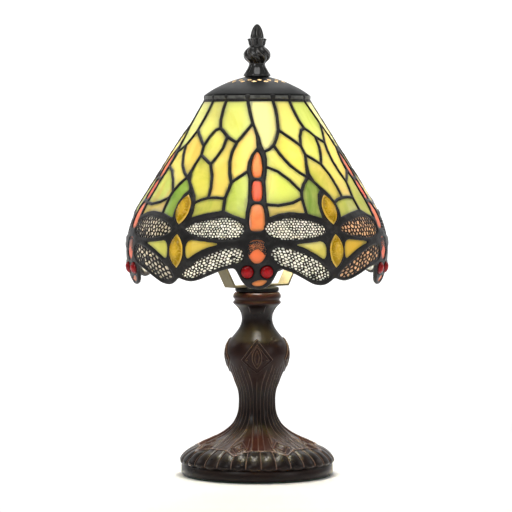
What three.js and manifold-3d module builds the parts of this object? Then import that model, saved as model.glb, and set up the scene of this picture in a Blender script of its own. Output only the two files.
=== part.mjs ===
// Leaded-glass table lamp with a dragonfly shade, in millimetres, +Z up.
// The origin is on the table, on the column's axis; the front dragonfly faces -Y.
import * as THREE from "three";
import { mergeVertices } from "three/addons/utils/BufferGeometryUtils.js";
import Module from "manifold-3d";

const wasm = await Module();
wasm.setup();

// ---------------------------------------------------------------- driving dimensions
const GAP = 0.3; // air between pieces that touch
const DEG = Math.PI / 180;

const UNITS = 5; // dragonflies round the shade
const UNIT_DEG = 360 / UNITS;

// The shade's outer face: a cone that bends over into an upright skirt.
const SHADE_TOP_R = 41.2;
const SHADE_TOP_Z = 288.6;
const SHADE_LEAN = 32.2 * DEG; // from upright
const CONE_LENGTH = 93.8; // down the slope
const BEND_R = 68;
const SLANT = 162.6; // down the slope, 100 % in the drawing below
const GLASS = 2.8;

const CAP_R = 42.3;
const CAP_RIM_Z = 289;
const CAP_TOP_Z = 305;
const CAP_FLAT_R = 11;
const CAP_SHEET = 1.2;
const VENTS_PER_ROW = 15;

const FOOT_R = 58.5;
const WALL_INSIDE_R = 54.6;
const LEDGE_Z = 12; // where the cover plate stops
const INLET_R = 3.5; // the cord's hole in the back
const INLET_Z = 6;
const COLUMN_TOP_Z = 141;
const COLLAR_R = 16.9;
const ROD_R = 5; // M10 x 1 lamp rod
const ROD_BORE_R = 3.8;
const ROD_HOLE_R = 5.5;
const STUD_R = 3; // M6
const STUD_HOLE_R = 3.3;

const HARP_WIDTH = 12;
const HARP_STRIP = 1.5;
const HARP_TURN = 40 * DEG; // the harp's plane, turned from the shade's front
const HARP_SEAT_Z = 145.1; // underside of the crossbar
const HARP_TOP_Z = 296; // top of the saddle

const SOCKET_Z = 150.7;
const BULB_SEAT_Z = 167.4;
const BULB_R = 22.5;
const BULB_TOP_Z = 244;

// ---------------------------------------------------------------- materials
function material(color, roughness, metalness = 0) {
  return new THREE.MeshStandardMaterial({ color, roughness, metalness });
}
const bronze = material(0x33221a, 0.42, 0.55);
const blackened = material(0x1f2122, 0.4, 0.7);
const greenGlass = material(0xd9dc5e, 0.2);
const wingGlass = material(0xc9cfc6, 0.25);
const amberGlass = material(0xc4871c, 0.12);
const rubyGlass = material(0xa00c18, 0.08);
const steel = material(0xb9b4a6, 0.32, 0.9);
const brass = material(0xb8923f, 0.35, 0.9);
const zinc = material(0x8d8f92, 0.45, 0.8);
const phenolic = material(0x171614, 0.5);
const porcelain = material(0xe8e4da, 0.3);
const bulbGlass = material(0xf7eed6, 0.15);
const felt = material(0x1d3a26, 0.95);

// ---------------------------------------------------------------- solids
function solidOf(geometry) {
  const bare = geometry.clone();
  for (const name of ["normal", "uv"]) bare.deleteAttribute(name);
  const merged = mergeVertices(bare, 1e-4);
  return new wasm.Manifold(
    new wasm.Mesh({
      numProp: 3,
      vertProperties: merged.attributes.position.array,
      triVerts: new Uint32Array(merged.index.array),
    }),
  );
}

function geometryOf(solid) {
  const mesh = solid.getMesh();
  return new THREE.BufferGeometry()
    .setAttribute("position", new THREE.BufferAttribute(mesh.vertProperties, 3))
    .setIndex(new THREE.BufferAttribute(mesh.triVerts, 1));
}

// Revolves [r, z] points about Z. They run up the outside, then down the inside or the axis.
function turned(points, segments = 32) {
  const profile = points.map(([r, z]) => new THREE.Vector2(r, z));
  return new THREE.LatheGeometry(profile, segments).rotateX(Math.PI / 2);
}

function disc(radius, low, high, segments = 32) {
  return turned([[0, low], [radius, low], [radius, high], [0, high]], segments);
}

function ring(inner, outer, low, high, segments = 32) {
  return turned([[inner, low], [outer, low], [outer, high], [inner, high], [inner, low]], segments);
}

function hexNut(acrossFlats, hole, low, high) {
  const corner = acrossFlats / Math.sqrt(3);
  const blank = new THREE.CylinderGeometry(corner, corner, high - low, 6);
  return bored(blank.rotateX(Math.PI / 2).translate(0, 0, (low + high) / 2), hole, low, high);
}

// The geometry with an upright round hole through it on the axis.
function bored(geometry, radius, low, high) {
  const drill = new THREE.CylinderGeometry(radius, radius, high - low + 4, 20);
  drill.rotateX(Math.PI / 2).translate(0, 0, (low + high) / 2);
  return geometryOf(solidOf(geometry).subtract(solidOf(drill)));
}

// [r, z] points on a smooth line through a few of its own points.
function smooth(points, steps) {
  const line = new THREE.SplineCurve(points.map(([r, z]) => new THREE.Vector2(r, z)));
  return line.getPoints(steps).map((p) => [p.x, p.y]);
}

function arc(centre, radius, from, to, steps) {
  return Array.from({ length: steps + 1 }, (_, i) => {
    const a = (from + ((to - from) * i) / steps) * DEG;
    return [centre[0] + radius * Math.cos(a), centre[1] + radius * Math.sin(a)];
  });
}

// A closed line moved sideways by a distance, with mitred corners; anticlockwise lines grow.
function offset(line, distance) {
  const points = line.map(([x, y]) => new THREE.Vector2(x, y));
  return points.map((p, i) => {
    const before = points[(i + points.length - 1) % points.length];
    const after = points[(i + 1) % points.length];
    const a = p.clone().sub(before).normalize();
    const b = after.clone().sub(p).normalize();
    const normal = new THREE.Vector2(a.y + b.y, -a.x - b.x).normalize();
    const mitre = distance / Math.sqrt((1 + a.dot(b)) / 2);
    return p.clone().addScaledVector(normal, mitre).toArray();
  });
}

// ---------------------------------------------------------------- the shade's surface
// The point `s` mm down the slope and `depth` mm under the outer face: radius, height and lean.
function shadeAt(s, depth = 0) {
  const bent = Math.max(0, s - CONE_LENGTH);
  const straight = s - bent;
  const lean = SHADE_LEAN - bent / BEND_R;
  const cone = SHADE_TOP_R + straight * Math.sin(SHADE_LEAN);
  const r = cone + BEND_R * (Math.cos(lean) - Math.cos(SHADE_LEAN));
  const foot = SHADE_TOP_Z - straight * Math.cos(SHADE_LEAN);
  const z = foot - BEND_R * (Math.sin(SHADE_LEAN) - Math.sin(lean));
  return { r: r - depth * Math.cos(lean), z: z - depth * Math.sin(lean), lean };
}

// The whole glass wall as one ring, from which the panels are cut.
function glassWall() {
  const stations = [0, 0.3, 0.577, 0.67, 0.77, 0.87, 0.97].map((v) => v * SLANT);
  const outside = stations.map((s) => shadeAt(s)).map(({ r, z }) => [r, z]);
  const inside = stations.map((s) => shadeAt(s, GLASS)).map(({ r, z }) => [r, z]);
  inside[0][1] = SHADE_TOP_Z;
  const profile = [...outside.reverse(), ...inside, outside[0]];
  return solidOf(turned(profile, UNITS * 8).rotateZ(-Math.PI / 2));
}

// A cutter with the drawn outline, square to the wall and running right through it. Points are
// [degrees from the front towards +X, % of the slant].
function wedge(outline) {
  const flat = outline.map(([u, v]) => new THREE.Vector2(u, -v));
  if (THREE.ShapeUtils.isClockWise(flat)) flat.reverse();
  const n = flat.length;
  const positions = [GLASS + 8, -35].flatMap((depth) =>
    flat.flatMap(({ x, y }) => {
      const { r, z } = shadeAt((-y / 100) * SLANT, depth);
      return [r * Math.sin(x * DEG), -r * Math.cos(x * DEG), z];
    }),
  );
  const index = [];
  for (const [a, b, c] of THREE.ShapeUtils.triangulateShape(flat, [])) {
    index.push(a + n, b + n, c + n, a, c, b);
  }
  for (let i = 0; i < n; i++) {
    const j = (i + 1) % n;
    if (flat[i].x < flat[j].x) index.push(i, j, j + n, i, j + n, i + n);
    else index.push(i, j, i + n, j, j + n, i + n);
  }
  const geometry = new THREE.BufferGeometry();
  geometry.setAttribute("position", new THREE.BufferAttribute(new Float32Array(positions), 3));
  return solidOf(geometry.setIndex(index));
}

// ---------------------------------------------------------------- the drawing of one unit
// Each point is [degrees from the dragonfly's middle, % of the slant from the top].
const SEAM = 0.2; // about GAP, in the drawing
const UPPER_GEM = { u: 35.6, v: 59.3, halfLength: 12.6, halfWidth: 6, depth: 4.4 };
const LOWER_GEM = { u: 36, v: 79.2, halfLength: 12.6, halfWidth: 5.8, depth: 4.4 };
const EYE = { u: 4.1, v: 88.4, r: 4.4, proud: 2.6 };

const mirrored = (points) => points.map(([u, v]) => [-u, v]).reverse();
const nextUnit = (points) => points.map(([u, v]) => [u + UNIT_DEG, v]);

// The lead that runs from above the top ring to the dragonfly's tail.
const tailLead = [[-12.7, -8], [-9.5, 0], [-5.5, 10], [-1, 16], [1.4, 20.5], [1.2, 25], [0, 30]];

// The dragonfly's right half: tail, upper wing, the edge shared with the next dragonfly,
// the scalloped hem and the head.
const dragonflyHalf = [
  [0.9, 26.6], [3, 29.5], [4.2, 35], [3.8, 41], [3.5, 50], [4, 57], [4.6, 63.4],
  [9, 62.4], [14, 61.6], [20, 61.6], [25, 63.6], [31.5, 66.4], [36 - SEAM / 2, 69],
  [36 - SEAM / 2, 91.5], [32, 94.3], [28.5, 95], [24, 93.6], [19, 90.7], [14, 88], [10, 86.7],
  [8.2, 87.7], [7.4, 90.2], [6, 93], [3.8, 95.4],
];
const dragonfly = [...dragonflyHalf, [0, 96.4], ...mirrored(dragonflyHalf)];

// From one tail lead to the next; the dragonflies and the gem are cut out of its lower side.
const background = [
  ...tailLead.map(([u, v]) => [u + SEAM / 2, v]),
  [0, 68],
  [UNIT_DEG / 2, 68.8],
  [UNIT_DEG, 68],
  ...nextUnit(tailLead.map(([u, v]) => [u - SEAM / 2, v]).reverse()),
];

// The marquise hole that a gem sits in.
function gemSeat({ u, v, halfLength, halfWidth }) {
  const long = ((halfLength + 2 * GAP) / SLANT) * 100;
  const wide = (halfWidth + GAP) / shadeAt((v / 100) * SLANT).r / DEG;
  const quarter = [[0.38, 0.85], [0.73, 0.6], [0.96, 0.3]];
  const half = [[0, -1], ...quarter.map(([a, b]) => [a, -b]), [1.02, 0], ...quarter.toReversed()];
  return [...half, ...half.map(([x, y]) => [-x, -y])].map(([x, y]) => [u + x * wide, v + y * long]);
}

// ---------------------------------------------------------------- the pieces
const lamp = new THREE.Group();

function add(name, geometry, finish, parent = lamp) {
  const mesh = new THREE.Mesh(geometry, finish.clone());
  mesh.name = name;
  parent.add(mesh);
  return mesh;
}

// A spindle with its long way down the slope, seated in the wall: a marquise from the front.
function gem({ u, v, halfLength, halfWidth, depth }) {
  const rise = (halfLength ** 2 - halfWidth ** 2) / (2 * halfWidth);
  const reach = Math.atan2(halfLength, rise) / DEG;
  const side = arc([-rise, 0], rise + halfWidth, -reach, reach, 6);
  side[0] = [0, -halfLength];
  side[6] = [0, halfLength];
  const { r, z, lean } = shadeAt((v / 100) * SLANT, GLASS / 2);
  return turned(side, 8)
    .scale(1, depth / halfWidth, 1)
    .rotateX(-lean)
    .translate(0, -r, z)
    .rotateZ(u * DEG);
}

function eye({ u, v, r: radius, proud }) {
  const { r, z, lean } = shadeAt((v / 100) * SLANT, GLASS / 2);
  return new THREE.SphereGeometry(radius, 10, 6)
    .scale(1, (proud + GLASS / 2) / radius, 1)
    .rotateX(-lean)
    .translate(0, -r, z)
    .rotateZ(u * DEG);
}

// A round cutter through the wall, square to it.
function eyeHole({ u, v, r: radius }) {
  const { r, z, lean } = shadeAt((v / 100) * SLANT);
  return solidOf(
    new THREE.CylinderGeometry(radius + GAP, radius + GAP, 20, 10)
      .rotateX(-lean)
      .translate(0, -r, z)
      .rotateZ(u * DEG),
  );
}

function addShadeGlass() {
  const wall = glassWall();
  const cut = (left, tool) => left.subtract(tool);
  const seats = [UPPER_GEM, LOWER_GEM].map((one) => wedge(gemSeat(one)));
  const previousSeat = wedge(gemSeat({ ...LOWER_GEM, u: LOWER_GEM.u - UNIT_DEG }));
  const grown = offset(dragonfly, SEAM);
  const eyes = [EYE, { ...EYE, u: -EYE.u }];
  const neighbours = [wedge(grown), wedge(nextUnit(grown)), seats[0]];
  const backgroundPanel = geometryOf(neighbours.reduce(cut, wall.intersect(wedge(background))));
  const holes = [...eyes.map(eyeHole), seats[1], previousSeat];
  const dragonflyPanel = geometryOf(holes.reduce(cut, wall.intersect(wedge(dragonfly))));
  for (let i = 0; i < UNITS; i++) {
    const unit = new THREE.Group();
    unit.rotation.z = i * UNIT_DEG * DEG;
    lamp.add(unit);
    const n = i + 1;
    add(`background_panel_${n}`, backgroundPanel, greenGlass, unit);
    add(`dragonfly_panel_${n}`, dragonflyPanel, wingGlass, unit);
    add(`upper_amber_gem_${n}`, gem(UPPER_GEM), amberGlass, unit);
    add(`lower_amber_gem_${n}`, gem(LOWER_GEM), amberGlass, unit);
    add(`right_ruby_eye_${n}`, eye(eyes[0]), rubyGlass, unit);
    add(`left_ruby_eye_${n}`, eye(eyes[1]), rubyGlass, unit);
  }
}

// The conical cap with two staggered rows of diamond vents and the stud's hole.
function ventedCap() {
  const outside = [
    [CAP_R, CAP_RIM_Z], [CAP_R - 0.5, CAP_RIM_Z + 1.3], [39.7, 292.6], [32.7, 297.2], [24.3, 301.7],
    [19.3, 303.7], [CAP_FLAT_R, CAP_TOP_Z], [STUD_HOLE_R, CAP_TOP_Z],
  ];
  const under = [
    [STUD_HOLE_R, CAP_TOP_Z - CAP_SHEET], [CAP_FLAT_R, CAP_TOP_Z - CAP_SHEET], [18.9, 302.6], [23.7, 300.6],
    [32, 296.1], [39, 291.5], [CAP_R - CAP_SHEET - 0.4, CAP_RIM_Z], [CAP_R, CAP_RIM_Z],
  ];
  let cap = solidOf(turned([...outside, ...under], 2 * VENTS_PER_ROW));
  const rows = [[18.6, 0.25], [21.8, -0.25]]; // radius, turn in pitches from the front
  for (const [r, turn] of rows) {
    for (let k = 0; k < VENTS_PER_ROW; k++) {
      const angle = ((k + turn) * 2 * Math.PI) / VENTS_PER_ROW;
      const diamond = new THREE.CylinderGeometry(1, 1, 12, 4).rotateX(Math.PI / 2).scale(1.6, 1, 1);
      cap = cap.subtract(solidOf(diamond.translate(0, -r, 301).rotateZ(angle)));
    }
  }
  return geometryOf(cap);
}

function finial() {
  const bore = STUD_R + 0.25;
  const neck = [[9.6, 1.9], [6.9, 6], [5.6, 9.2]];
  const waist = smooth([...neck, [8.8, 12.4], [10.7, 16], [8.6, 20.6], [5.9, 24]], 11);
  const bud = smooth([[7, 27.6], [5.4, 30.2], [4.5, 34.6], [2.4, 38.8], [0, 40.2]], 6);
  const profile = [[0, 13], [bore, 11.5], [bore, 0], [9.2, 0], [10.3, 1], ...waist, ...bud];
  return turned(profile, 18).translate(0, 0, CAP_TOP_Z + 1.3 + GAP);
}

function addShadeHardware() {
  add("shade_top_ring", ring(35, 38.5, SHADE_TOP_Z + GAP, SHADE_TOP_Z + 2, 30), blackened);
  add("vented_cap", ventedCap(), blackened);
  add("finial_washer", ring(STUD_HOLE_R, 7.6, CAP_TOP_Z + GAP, CAP_TOP_Z + 1.3, 20), blackened);
  add("finial", finial(), blackened);
  const under = CAP_TOP_Z - CAP_SHEET;
  add("cap_washer", ring(STUD_HOLE_R, 8, under - 1.5, under - GAP, 20), phenolic);
}

// The harp is one flat strip bent into a loop: crossbar, splayed arms, arch and saddle.
function harp() {
  const mid = HARP_STRIP / 2;
  const right = [
    [26.7, HARP_SEAT_Z + mid],
    [37.4, HARP_SEAT_Z + 19.5],
    [38.8, HARP_SEAT_Z + 26],
    [38.8, 246],
    [36.6, 262],
    [30, 276.5],
    [20, 287.5],
    [13, HARP_TOP_Z - mid],
  ];
  const line = [...right, ...right.map(([x, z]) => [-x, z]).reverse()];
  const outline = (distance) => offset(line, distance).map(([x, z]) => new THREE.Vector2(x, z));
  const strip = new THREE.Shape(outline(mid));
  strip.holes.push(new THREE.Path(outline(-mid)));
  const loop = new THREE.ExtrudeGeometry(strip, { depth: HARP_WIDTH, bevelEnabled: false })
    .translate(0, 0, -HARP_WIDTH / 2)
    .rotateX(Math.PI / 2);
  const lower = bored(loop, ROD_HOLE_R, HARP_SEAT_Z, HARP_SEAT_Z + HARP_STRIP);
  return bored(lower, STUD_HOLE_R, HARP_TOP_Z - HARP_STRIP, HARP_TOP_Z).rotateZ(HARP_TURN);
}

function addHarp() {
  add("harp", harp(), steel);
  const saddle = HARP_TOP_Z;
  const studTop = CAP_TOP_Z + 10;
  const headLow = saddle - HARP_STRIP - GAP - 3.6;
  const headTop = saddle - HARP_STRIP - GAP;
  const head = [[0, headLow], [5, headLow], [5, headTop], [STUD_R, headTop]];
  const tip = [[STUD_R, studTop - 0.8], [STUD_R - 0.8, studTop], [0, studTop]];
  add("harp_stud", turned([...head, ...tip], 16), zinc);
  add("harp_stud_nut", hexNut(10, STUD_HOLE_R, saddle + GAP, CAP_TOP_Z - CAP_SHEET - 1.5 - GAP), zinc);
}

// The cast column and foot, hollow from below, with a ledge for the cover plate.
function baseCasting() {
  const column = smooth(
    [
      [59.4, 11.6], [57.2, 16.2], [44, 23.8], [29, 31], [19.3, 38.5], [14.7, 49], [13.9, 58], [16.6, 70.8],
      [22.7, 84.7], [24.1, 94], [20.8, 104.2], [14.2, 112.4], [11.9, 120.5], [13.3, 126.8], [18, 131.4],
    ],
    28,
  );
  const rings = [[18.6, 133], [17.3, 134.6], [18.4, 136.2], [18.4, 138.6], [16.9, COLUMN_TOP_Z]];
  const hollow = smooth(
    [[8, 124], [12, 107], [19.6, 94], [12, 70.6], [9.9, 56], [16, 36.4], [38, 22.4], [52, LEDGE_Z + 2]],
    12,
  );
  const profile = [
    [WALL_INSIDE_R, 1.3],
    [FOOT_R - 0.6, 1.3],
    [FOOT_R, 2.4],
    [FOOT_R, 10.2],
    ...column,
    ...rings,
    [ROD_HOLE_R, COLUMN_TOP_Z],
    [ROD_HOLE_R, 127],
    ...hollow,
    [52, LEDGE_Z],
    [WALL_INSIDE_R, LEDGE_Z],
    [WALL_INSIDE_R, 1.3],
  ];
  const inlet = new THREE.CylinderGeometry(INLET_R, INLET_R, 12, 12).translate(0, FOOT_R, INLET_Z);
  return geometryOf(solidOf(turned(profile, 28)).subtract(solidOf(inlet)));
}

// A grommet that lines the cord's hole in the back of the foot.
function cableBush() {
  const [hole, body, flange] = [2.4, INLET_R - GAP, 4.4];
  const wall = 5;
  const face = wall + 1.4;
  const points = [[hole, 0], [body, 0], [body, wall], [flange, wall], [flange, face], [hole, face]];
  const lying = turned([...points, points[0]], 14).rotateX(-Math.PI / 2);
  return lying.translate(0, FOOT_R + GAP - wall, INLET_Z);
}

function addBase() {
  add("base_casting", baseCasting(), bronze);
  add("felt_pad", disc(57, 0, 1), felt);
  add("cover_plate", ring(ROD_HOLE_R, WALL_INSIDE_R - 0.5, LEDGE_Z - 1.8, LEDGE_Z - GAP), steel);
  add("rod_washer", ring(ROD_HOLE_R, 10, LEDGE_Z - 3.2, LEDGE_Z - 2.1, 20), zinc);
  add("rod_nut", hexNut(14, ROD_HOLE_R, LEDGE_Z - 7.5, LEDGE_Z - 3.5), zinc);
  add("threaded_rod", ring(ROD_BORE_R, ROD_R, LEDGE_Z - 8, SOCKET_Z + 6, 20), zinc);
  add("cable_bush", cableBush(), phenolic);
  const [low, high] = [COLUMN_TOP_Z + GAP, HARP_SEAT_Z - GAP];
  const foot = [[ROD_HOLE_R, low], [COLLAR_R - 1.1, low], [COLLAR_R, low + 0.9]];
  const brow = [[COLLAR_R, high - 0.6], [COLLAR_R - 0.7, high], [ROD_HOLE_R, high]];
  add("top_collar", turned([...foot, ...brow, [ROD_HOLE_R, low]], 24), blackened);
}

function addLampHolder() {
  const z = SOCKET_Z;
  add("holder_lock_nut", hexNut(14, ROD_HOLE_R, HARP_SEAT_Z + HARP_STRIP + GAP, z - GAP), brass);
  const cupOutside = [[ROD_HOLE_R, z], [9, z], [13.6, z + 5], [13.6, z + 10]];
  const cup = [...cupOutside, [12.4, z + 10], [12.4, z + 7], [ROD_HOLE_R, z + 3]];
  add("holder_cup", turned([...cup, [ROD_HOLE_R, z]], 24), phenolic);
  add("holder_shell", ring(11.6, 13.6, z + 10 + GAP, z + 39, 24), phenolic);
  const core = [[0, z + 7.6], [11.3, z + 7.6], [11.3, z + 36], [8.6, z + 36], [8.6, z + 12], [0, z + 12]];
  add("holder_core", turned(core, 24), porcelain);
  add("screw_contact", ring(7.5, 8.3, z + 12 + GAP, z + 35, 24), brass);
  add("centre_contact", disc(2.4, z + 12 + GAP, BULB_SEAT_Z - 2.6, 12), brass);
}

function addBulb() {
  const z = BULB_SEAT_Z;
  add("bulb_tip_contact", disc(2.2, z - 2.2, z - 0.6, 12), zinc);
  const insulator = [[0, z - GAP], [2.6, z - GAP], [5.6, z + 2], [5.6, z + 2.8], [0, z + 2.8]];
  add("bulb_insulator", turned(insulator, 16), phenolic);
  const capOutside = [[5.9, z + 3.1], [7, z + 4.4], [7, z + 20], [7.4, z + 22]];
  const cap = [...capOutside, [6.6, z + 22], [6.2, z + 20], [6.2, z + 4.4], [5.9, z + 3.1]];
  add("bulb_screw_cap", turned(cap, 24), brass);
  const centre = BULB_TOP_Z - BULB_R;
  const neck = [[7.6, z + 22.3], [8.6, z + 27], ...arc([0, centre], BULB_R, -52, 90, 8)];
  const inner = arc([0, centre], BULB_R - 0.9, 90, -52, 8);
  const mouth = [[7.7, z + 27], [6.8, z + 22.3], [7.6, z + 22.3]];
  add("bulb_envelope", turned([...neck, ...inner, ...mouth], 20), bulbGlass);
  const stemFoot = [[0, z + 18], [4.6, z + 18], [4.2, z + 24], [1.6, z + 32]];
  const stem = [...stemFoot, [1.2, z + 44], [1.6, z + 47], [0, z + 48]];
  add("bulb_stem", turned(stem, 10), bulbGlass);
}

addBase();
addHarp();
addLampHolder();
addBulb();
addShadeGlass();
addShadeHardware();

export default lamp;
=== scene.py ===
"""A leaded-glass dragonfly table lamp, dressed round its CAD frame.

Lengths are metres. The shade is drawn once, in its own coordinates: u is degrees round from a
dragonfly's middle towards +X, v is the share of the slant from the top. The drawing repeats
every 72 degrees. Everything else is turned, lofted or swept from a few dimensions of the frame.
"""
import math

import bpy
import numpy as np
from mathutils import Matrix, Vector


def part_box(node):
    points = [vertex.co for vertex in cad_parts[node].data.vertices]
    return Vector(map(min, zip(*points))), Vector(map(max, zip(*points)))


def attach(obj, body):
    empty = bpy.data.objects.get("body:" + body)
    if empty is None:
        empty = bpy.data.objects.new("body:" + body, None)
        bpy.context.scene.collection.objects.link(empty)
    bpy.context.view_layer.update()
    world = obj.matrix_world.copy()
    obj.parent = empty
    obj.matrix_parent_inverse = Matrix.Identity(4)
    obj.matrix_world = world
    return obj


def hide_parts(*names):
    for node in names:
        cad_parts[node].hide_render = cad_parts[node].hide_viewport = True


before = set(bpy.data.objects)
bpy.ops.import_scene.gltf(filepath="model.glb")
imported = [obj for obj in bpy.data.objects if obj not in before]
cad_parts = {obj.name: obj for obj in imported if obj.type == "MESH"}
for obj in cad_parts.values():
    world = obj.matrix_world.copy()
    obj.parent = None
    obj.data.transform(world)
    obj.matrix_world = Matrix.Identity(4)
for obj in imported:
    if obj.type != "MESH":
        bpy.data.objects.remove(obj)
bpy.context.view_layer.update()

MM = 0.001
DEG = math.pi / 180
UNITS = 5
UNIT = 360 / UNITS
# Seeds for what is uneven because it's made by hand. Glass and overlays add the unit's number.
LEAD_SEED = 11
GLASS_SEED = 10
OVERLAY_SEED = 60
SOLDER_SEED = 101

# ------------------------------------------------------------------ places taken from the frame


def node_box(name):
    """A CAD node's lowest and highest corners, in millimetres."""
    low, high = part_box(name)
    return np.array(low) / MM, np.array(high) / MM


SHADE_TOP_Z = node_box("background_panel_1")[1][2] * MM

# The shade's outer face, as the CAD wall has it: a cone that bends over into an upright skirt.
SHADE_TOP_R = 41.2 * MM
SHADE_LEAN = 32.2 * DEG
CONE_LENGTH = 93.8 * MM
BEND_R = 68 * MM
SLANT = 162.6 * MM


def shade_point(u, v, depth):
    """The point at u degrees and v down the slant, depth under the outer face. Arrays are fine."""
    s = np.asarray(v) * SLANT
    bent = np.maximum(0, s - CONE_LENGTH)
    straight = s - bent
    lean = SHADE_LEAN - bent / BEND_R
    r = SHADE_TOP_R + straight * math.sin(SHADE_LEAN)
    r = r + BEND_R * (np.cos(lean) - math.cos(SHADE_LEAN)) - depth * np.cos(lean)
    z = SHADE_TOP_Z - straight * math.cos(SHADE_LEAN)
    z = z - BEND_R * (math.sin(SHADE_LEAN) - np.sin(lean)) - depth * np.sin(lean)
    a = np.asarray(u) * DEG
    return np.stack([r * np.sin(a), -r * np.cos(a), z + 0 * a], axis=-1)


def shade_radius(v):
    """The shade's outer radius v down the slant."""
    p = shade_point(0.0, v, 0.0)
    return -p[..., 1]


# ------------------------------------------------------------------ materials


class Nodes:
    """A small hand for building a node tree."""

    def __init__(self, name):
        self.material = bpy.data.materials.new(name)
        self.material.use_nodes = True
        self.tree = self.material.node_tree
        self.shader = self.tree.nodes["Principled BSDF"]
        self.output = self.tree.nodes["Material Output"]
        self.coords = self.add("ShaderNodeTexCoord").outputs["Object"]

    def add(self, kind, **settings):
        node = self.tree.nodes.new(kind)
        for key, value in settings.items():
            if key in node.inputs.keys():
                self.put(node.inputs[key], value)
            else:
                setattr(node, key, value)
        return node

    def put(self, socket, value):
        if isinstance(value, bpy.types.NodeSocket):
            self.tree.links.new(value, socket)
        else:
            socket.default_value = value

    def noise(self, scale, detail=4, rough=0.55, stretch=None, distortion=0.0):
        where = self.coords
        if stretch:
            mapping = self.add("ShaderNodeMapping", Scale=stretch)
            self.put(mapping.inputs["Vector"], where)
            where = mapping.outputs[0]
        node = self.add("ShaderNodeTexNoise", Scale=scale, Detail=detail, Roughness=rough,
                        Distortion=distortion)
        self.put(node.inputs["Vector"], where)
        return node.outputs["Fac"]

    def ramp(self, value, *stops):
        node = self.add("ShaderNodeValToRGB")
        self.put(node.inputs["Fac"], value)
        elements = node.color_ramp.elements
        while len(elements) < len(stops):
            elements.new(0.5)
        for element, (place, colour) in zip(elements, stops):
            element.position = place
            element.color = (*colour, 1) if len(colour) == 3 else colour
        return node.outputs["Color"]

    def grey(self, value, low, high, from_low=0.0, from_high=1.0):
        node = self.add("ShaderNodeMapRange")
        limits = {"From Min": from_low, "From Max": from_high, "To Min": low, "To Max": high}
        for key, number in limits.items():
            node.inputs[key].default_value = number
        self.put(node.inputs["Value"], value)
        return node.outputs["Result"]

    def mix(self, factor, a, b, blend="MIX"):
        node = self.add("ShaderNodeMix", data_type="RGBA", blend_type=blend)
        for socket, value in ((node.inputs[0], factor), (node.inputs[6], a), (node.inputs[7], b)):
            self.put(socket, (*value, 1) if isinstance(value, tuple) and len(value) == 3 else value)
        return node.outputs[2]

    def attribute(self, name):
        return self.add("ShaderNodeAttribute", attribute_name=name).outputs["Color"]

    def bump(self, height, strength, distance):
        node = self.add("ShaderNodeBump", Strength=strength, Distance=distance)
        self.put(node.inputs["Height"], height)
        self.put(self.shader.inputs["Normal"], node.outputs["Normal"])
        return node.outputs["Normal"]

    def set(self, **values):
        names = {"color": "Base Color", "rough": "Roughness", "metal": "Metallic", "coat": "Coat Weight",
                 "coat_rough": "Coat Roughness", "ior": "IOR",
                 "glow": "Emission Color", "glow_strength": "Emission Strength", "sheen": "Sheen Weight",
                 "specular": "Specular IOR Level"}
        for key, value in values.items():
            value = (*value, 1) if isinstance(value, tuple) and len(value) == 3 else value
            self.put(self.shader.inputs[names[key]], value)
        return self

    def translucent(self, share, colour, normal=None):
        """Lets light from behind through, diffused, as opalescent glass does."""
        glow = self.add("ShaderNodeBsdfTranslucent", Color=colour)
        if normal:
            self.put(glow.inputs["Normal"], normal)
        mix = self.add("ShaderNodeMixShader")
        self.put(mix.inputs[0], share)
        self.tree.links.new(self.shader.outputs[0], mix.inputs[1])
        self.tree.links.new(glow.outputs[0], mix.inputs[2])
        self.tree.links.new(mix.outputs[0], self.output.inputs["Surface"])


def srgb(r, g, b):
    """A colour given 0 to 255, as linear light."""
    return tuple(((c / 255 + 0.055) / 1.055) ** 2.4 if c > 10 else c / 255 / 12.92 for c in (r, g, b))


def opal_glass():
    """Streaky opalescent glass: the piece's own tint, with cloudy white, streaks and fine ripple."""
    n = Nodes("opal_glass")
    tint = n.attribute("tint")
    accent = n.attribute("accent")
    streak = n.noise(38, detail=5, rough=0.6, stretch=(1.0, 1.0, 0.28), distortion=1.6)
    cloud = n.noise(22, detail=3, rough=0.5, distortion=0.8)
    pale = n.mix(n.grey(cloud, 0.06, 0.5, 0.42, 0.72), tint, srgb(238, 238, 176))
    deep = n.mix(n.grey(streak, 0.0, 0.75, 0.47, 0.66), pale, accent)
    ripple = n.noise(160, detail=3, rough=0.5)
    normal = n.bump(ripple, 0.18, 0.0006)
    n.set(color=deep, rough=0.16, coat=0.5, coat_rough=0.04, ior=1.5)
    n.translucent(0.42, deep, normal)
    return n.material


def body_glass():
    """The dragonfly's orange glass, redder in streaks."""
    n = Nodes("body_glass")
    tint = n.attribute("tint")
    streak = n.noise(70, detail=4, rough=0.6, stretch=(1, 1, 0.4), distortion=1.2)
    colour = n.mix(n.grey(streak, 0.0, 0.4, 0.45, 0.7), tint, srgb(232, 122, 76))
    normal = n.bump(n.noise(220, detail=2), 0.15, 0.0005)
    n.set(color=colour, rough=0.14, coat=0.5, coat_rough=0.04, ior=1.5)
    n.translucent(0.5, colour, normal)
    return n.material


def ripple_glass():
    """Clear rippled glass behind the pierced wings, bright from the light inside."""
    n = Nodes("ripple_glass")
    mottle = n.ramp(n.noise(240, detail=3, rough=0.7, distortion=0.7),
                    (0.30, srgb(206, 208, 204)), (0.5, srgb(240, 240, 236)), (0.72, srgb(254, 254, 252)))
    colour = n.mix(1.0, n.attribute("tint"), mottle, "MULTIPLY")
    normal = n.bump(n.noise(330, detail=3, distortion=1.0), 0.5, 0.0008)
    n.set(color=colour, rough=0.12, coat=0.6, coat_rough=0.03, ior=1.5)
    n.translucent(0.72, colour, normal)
    return n.material


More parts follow.
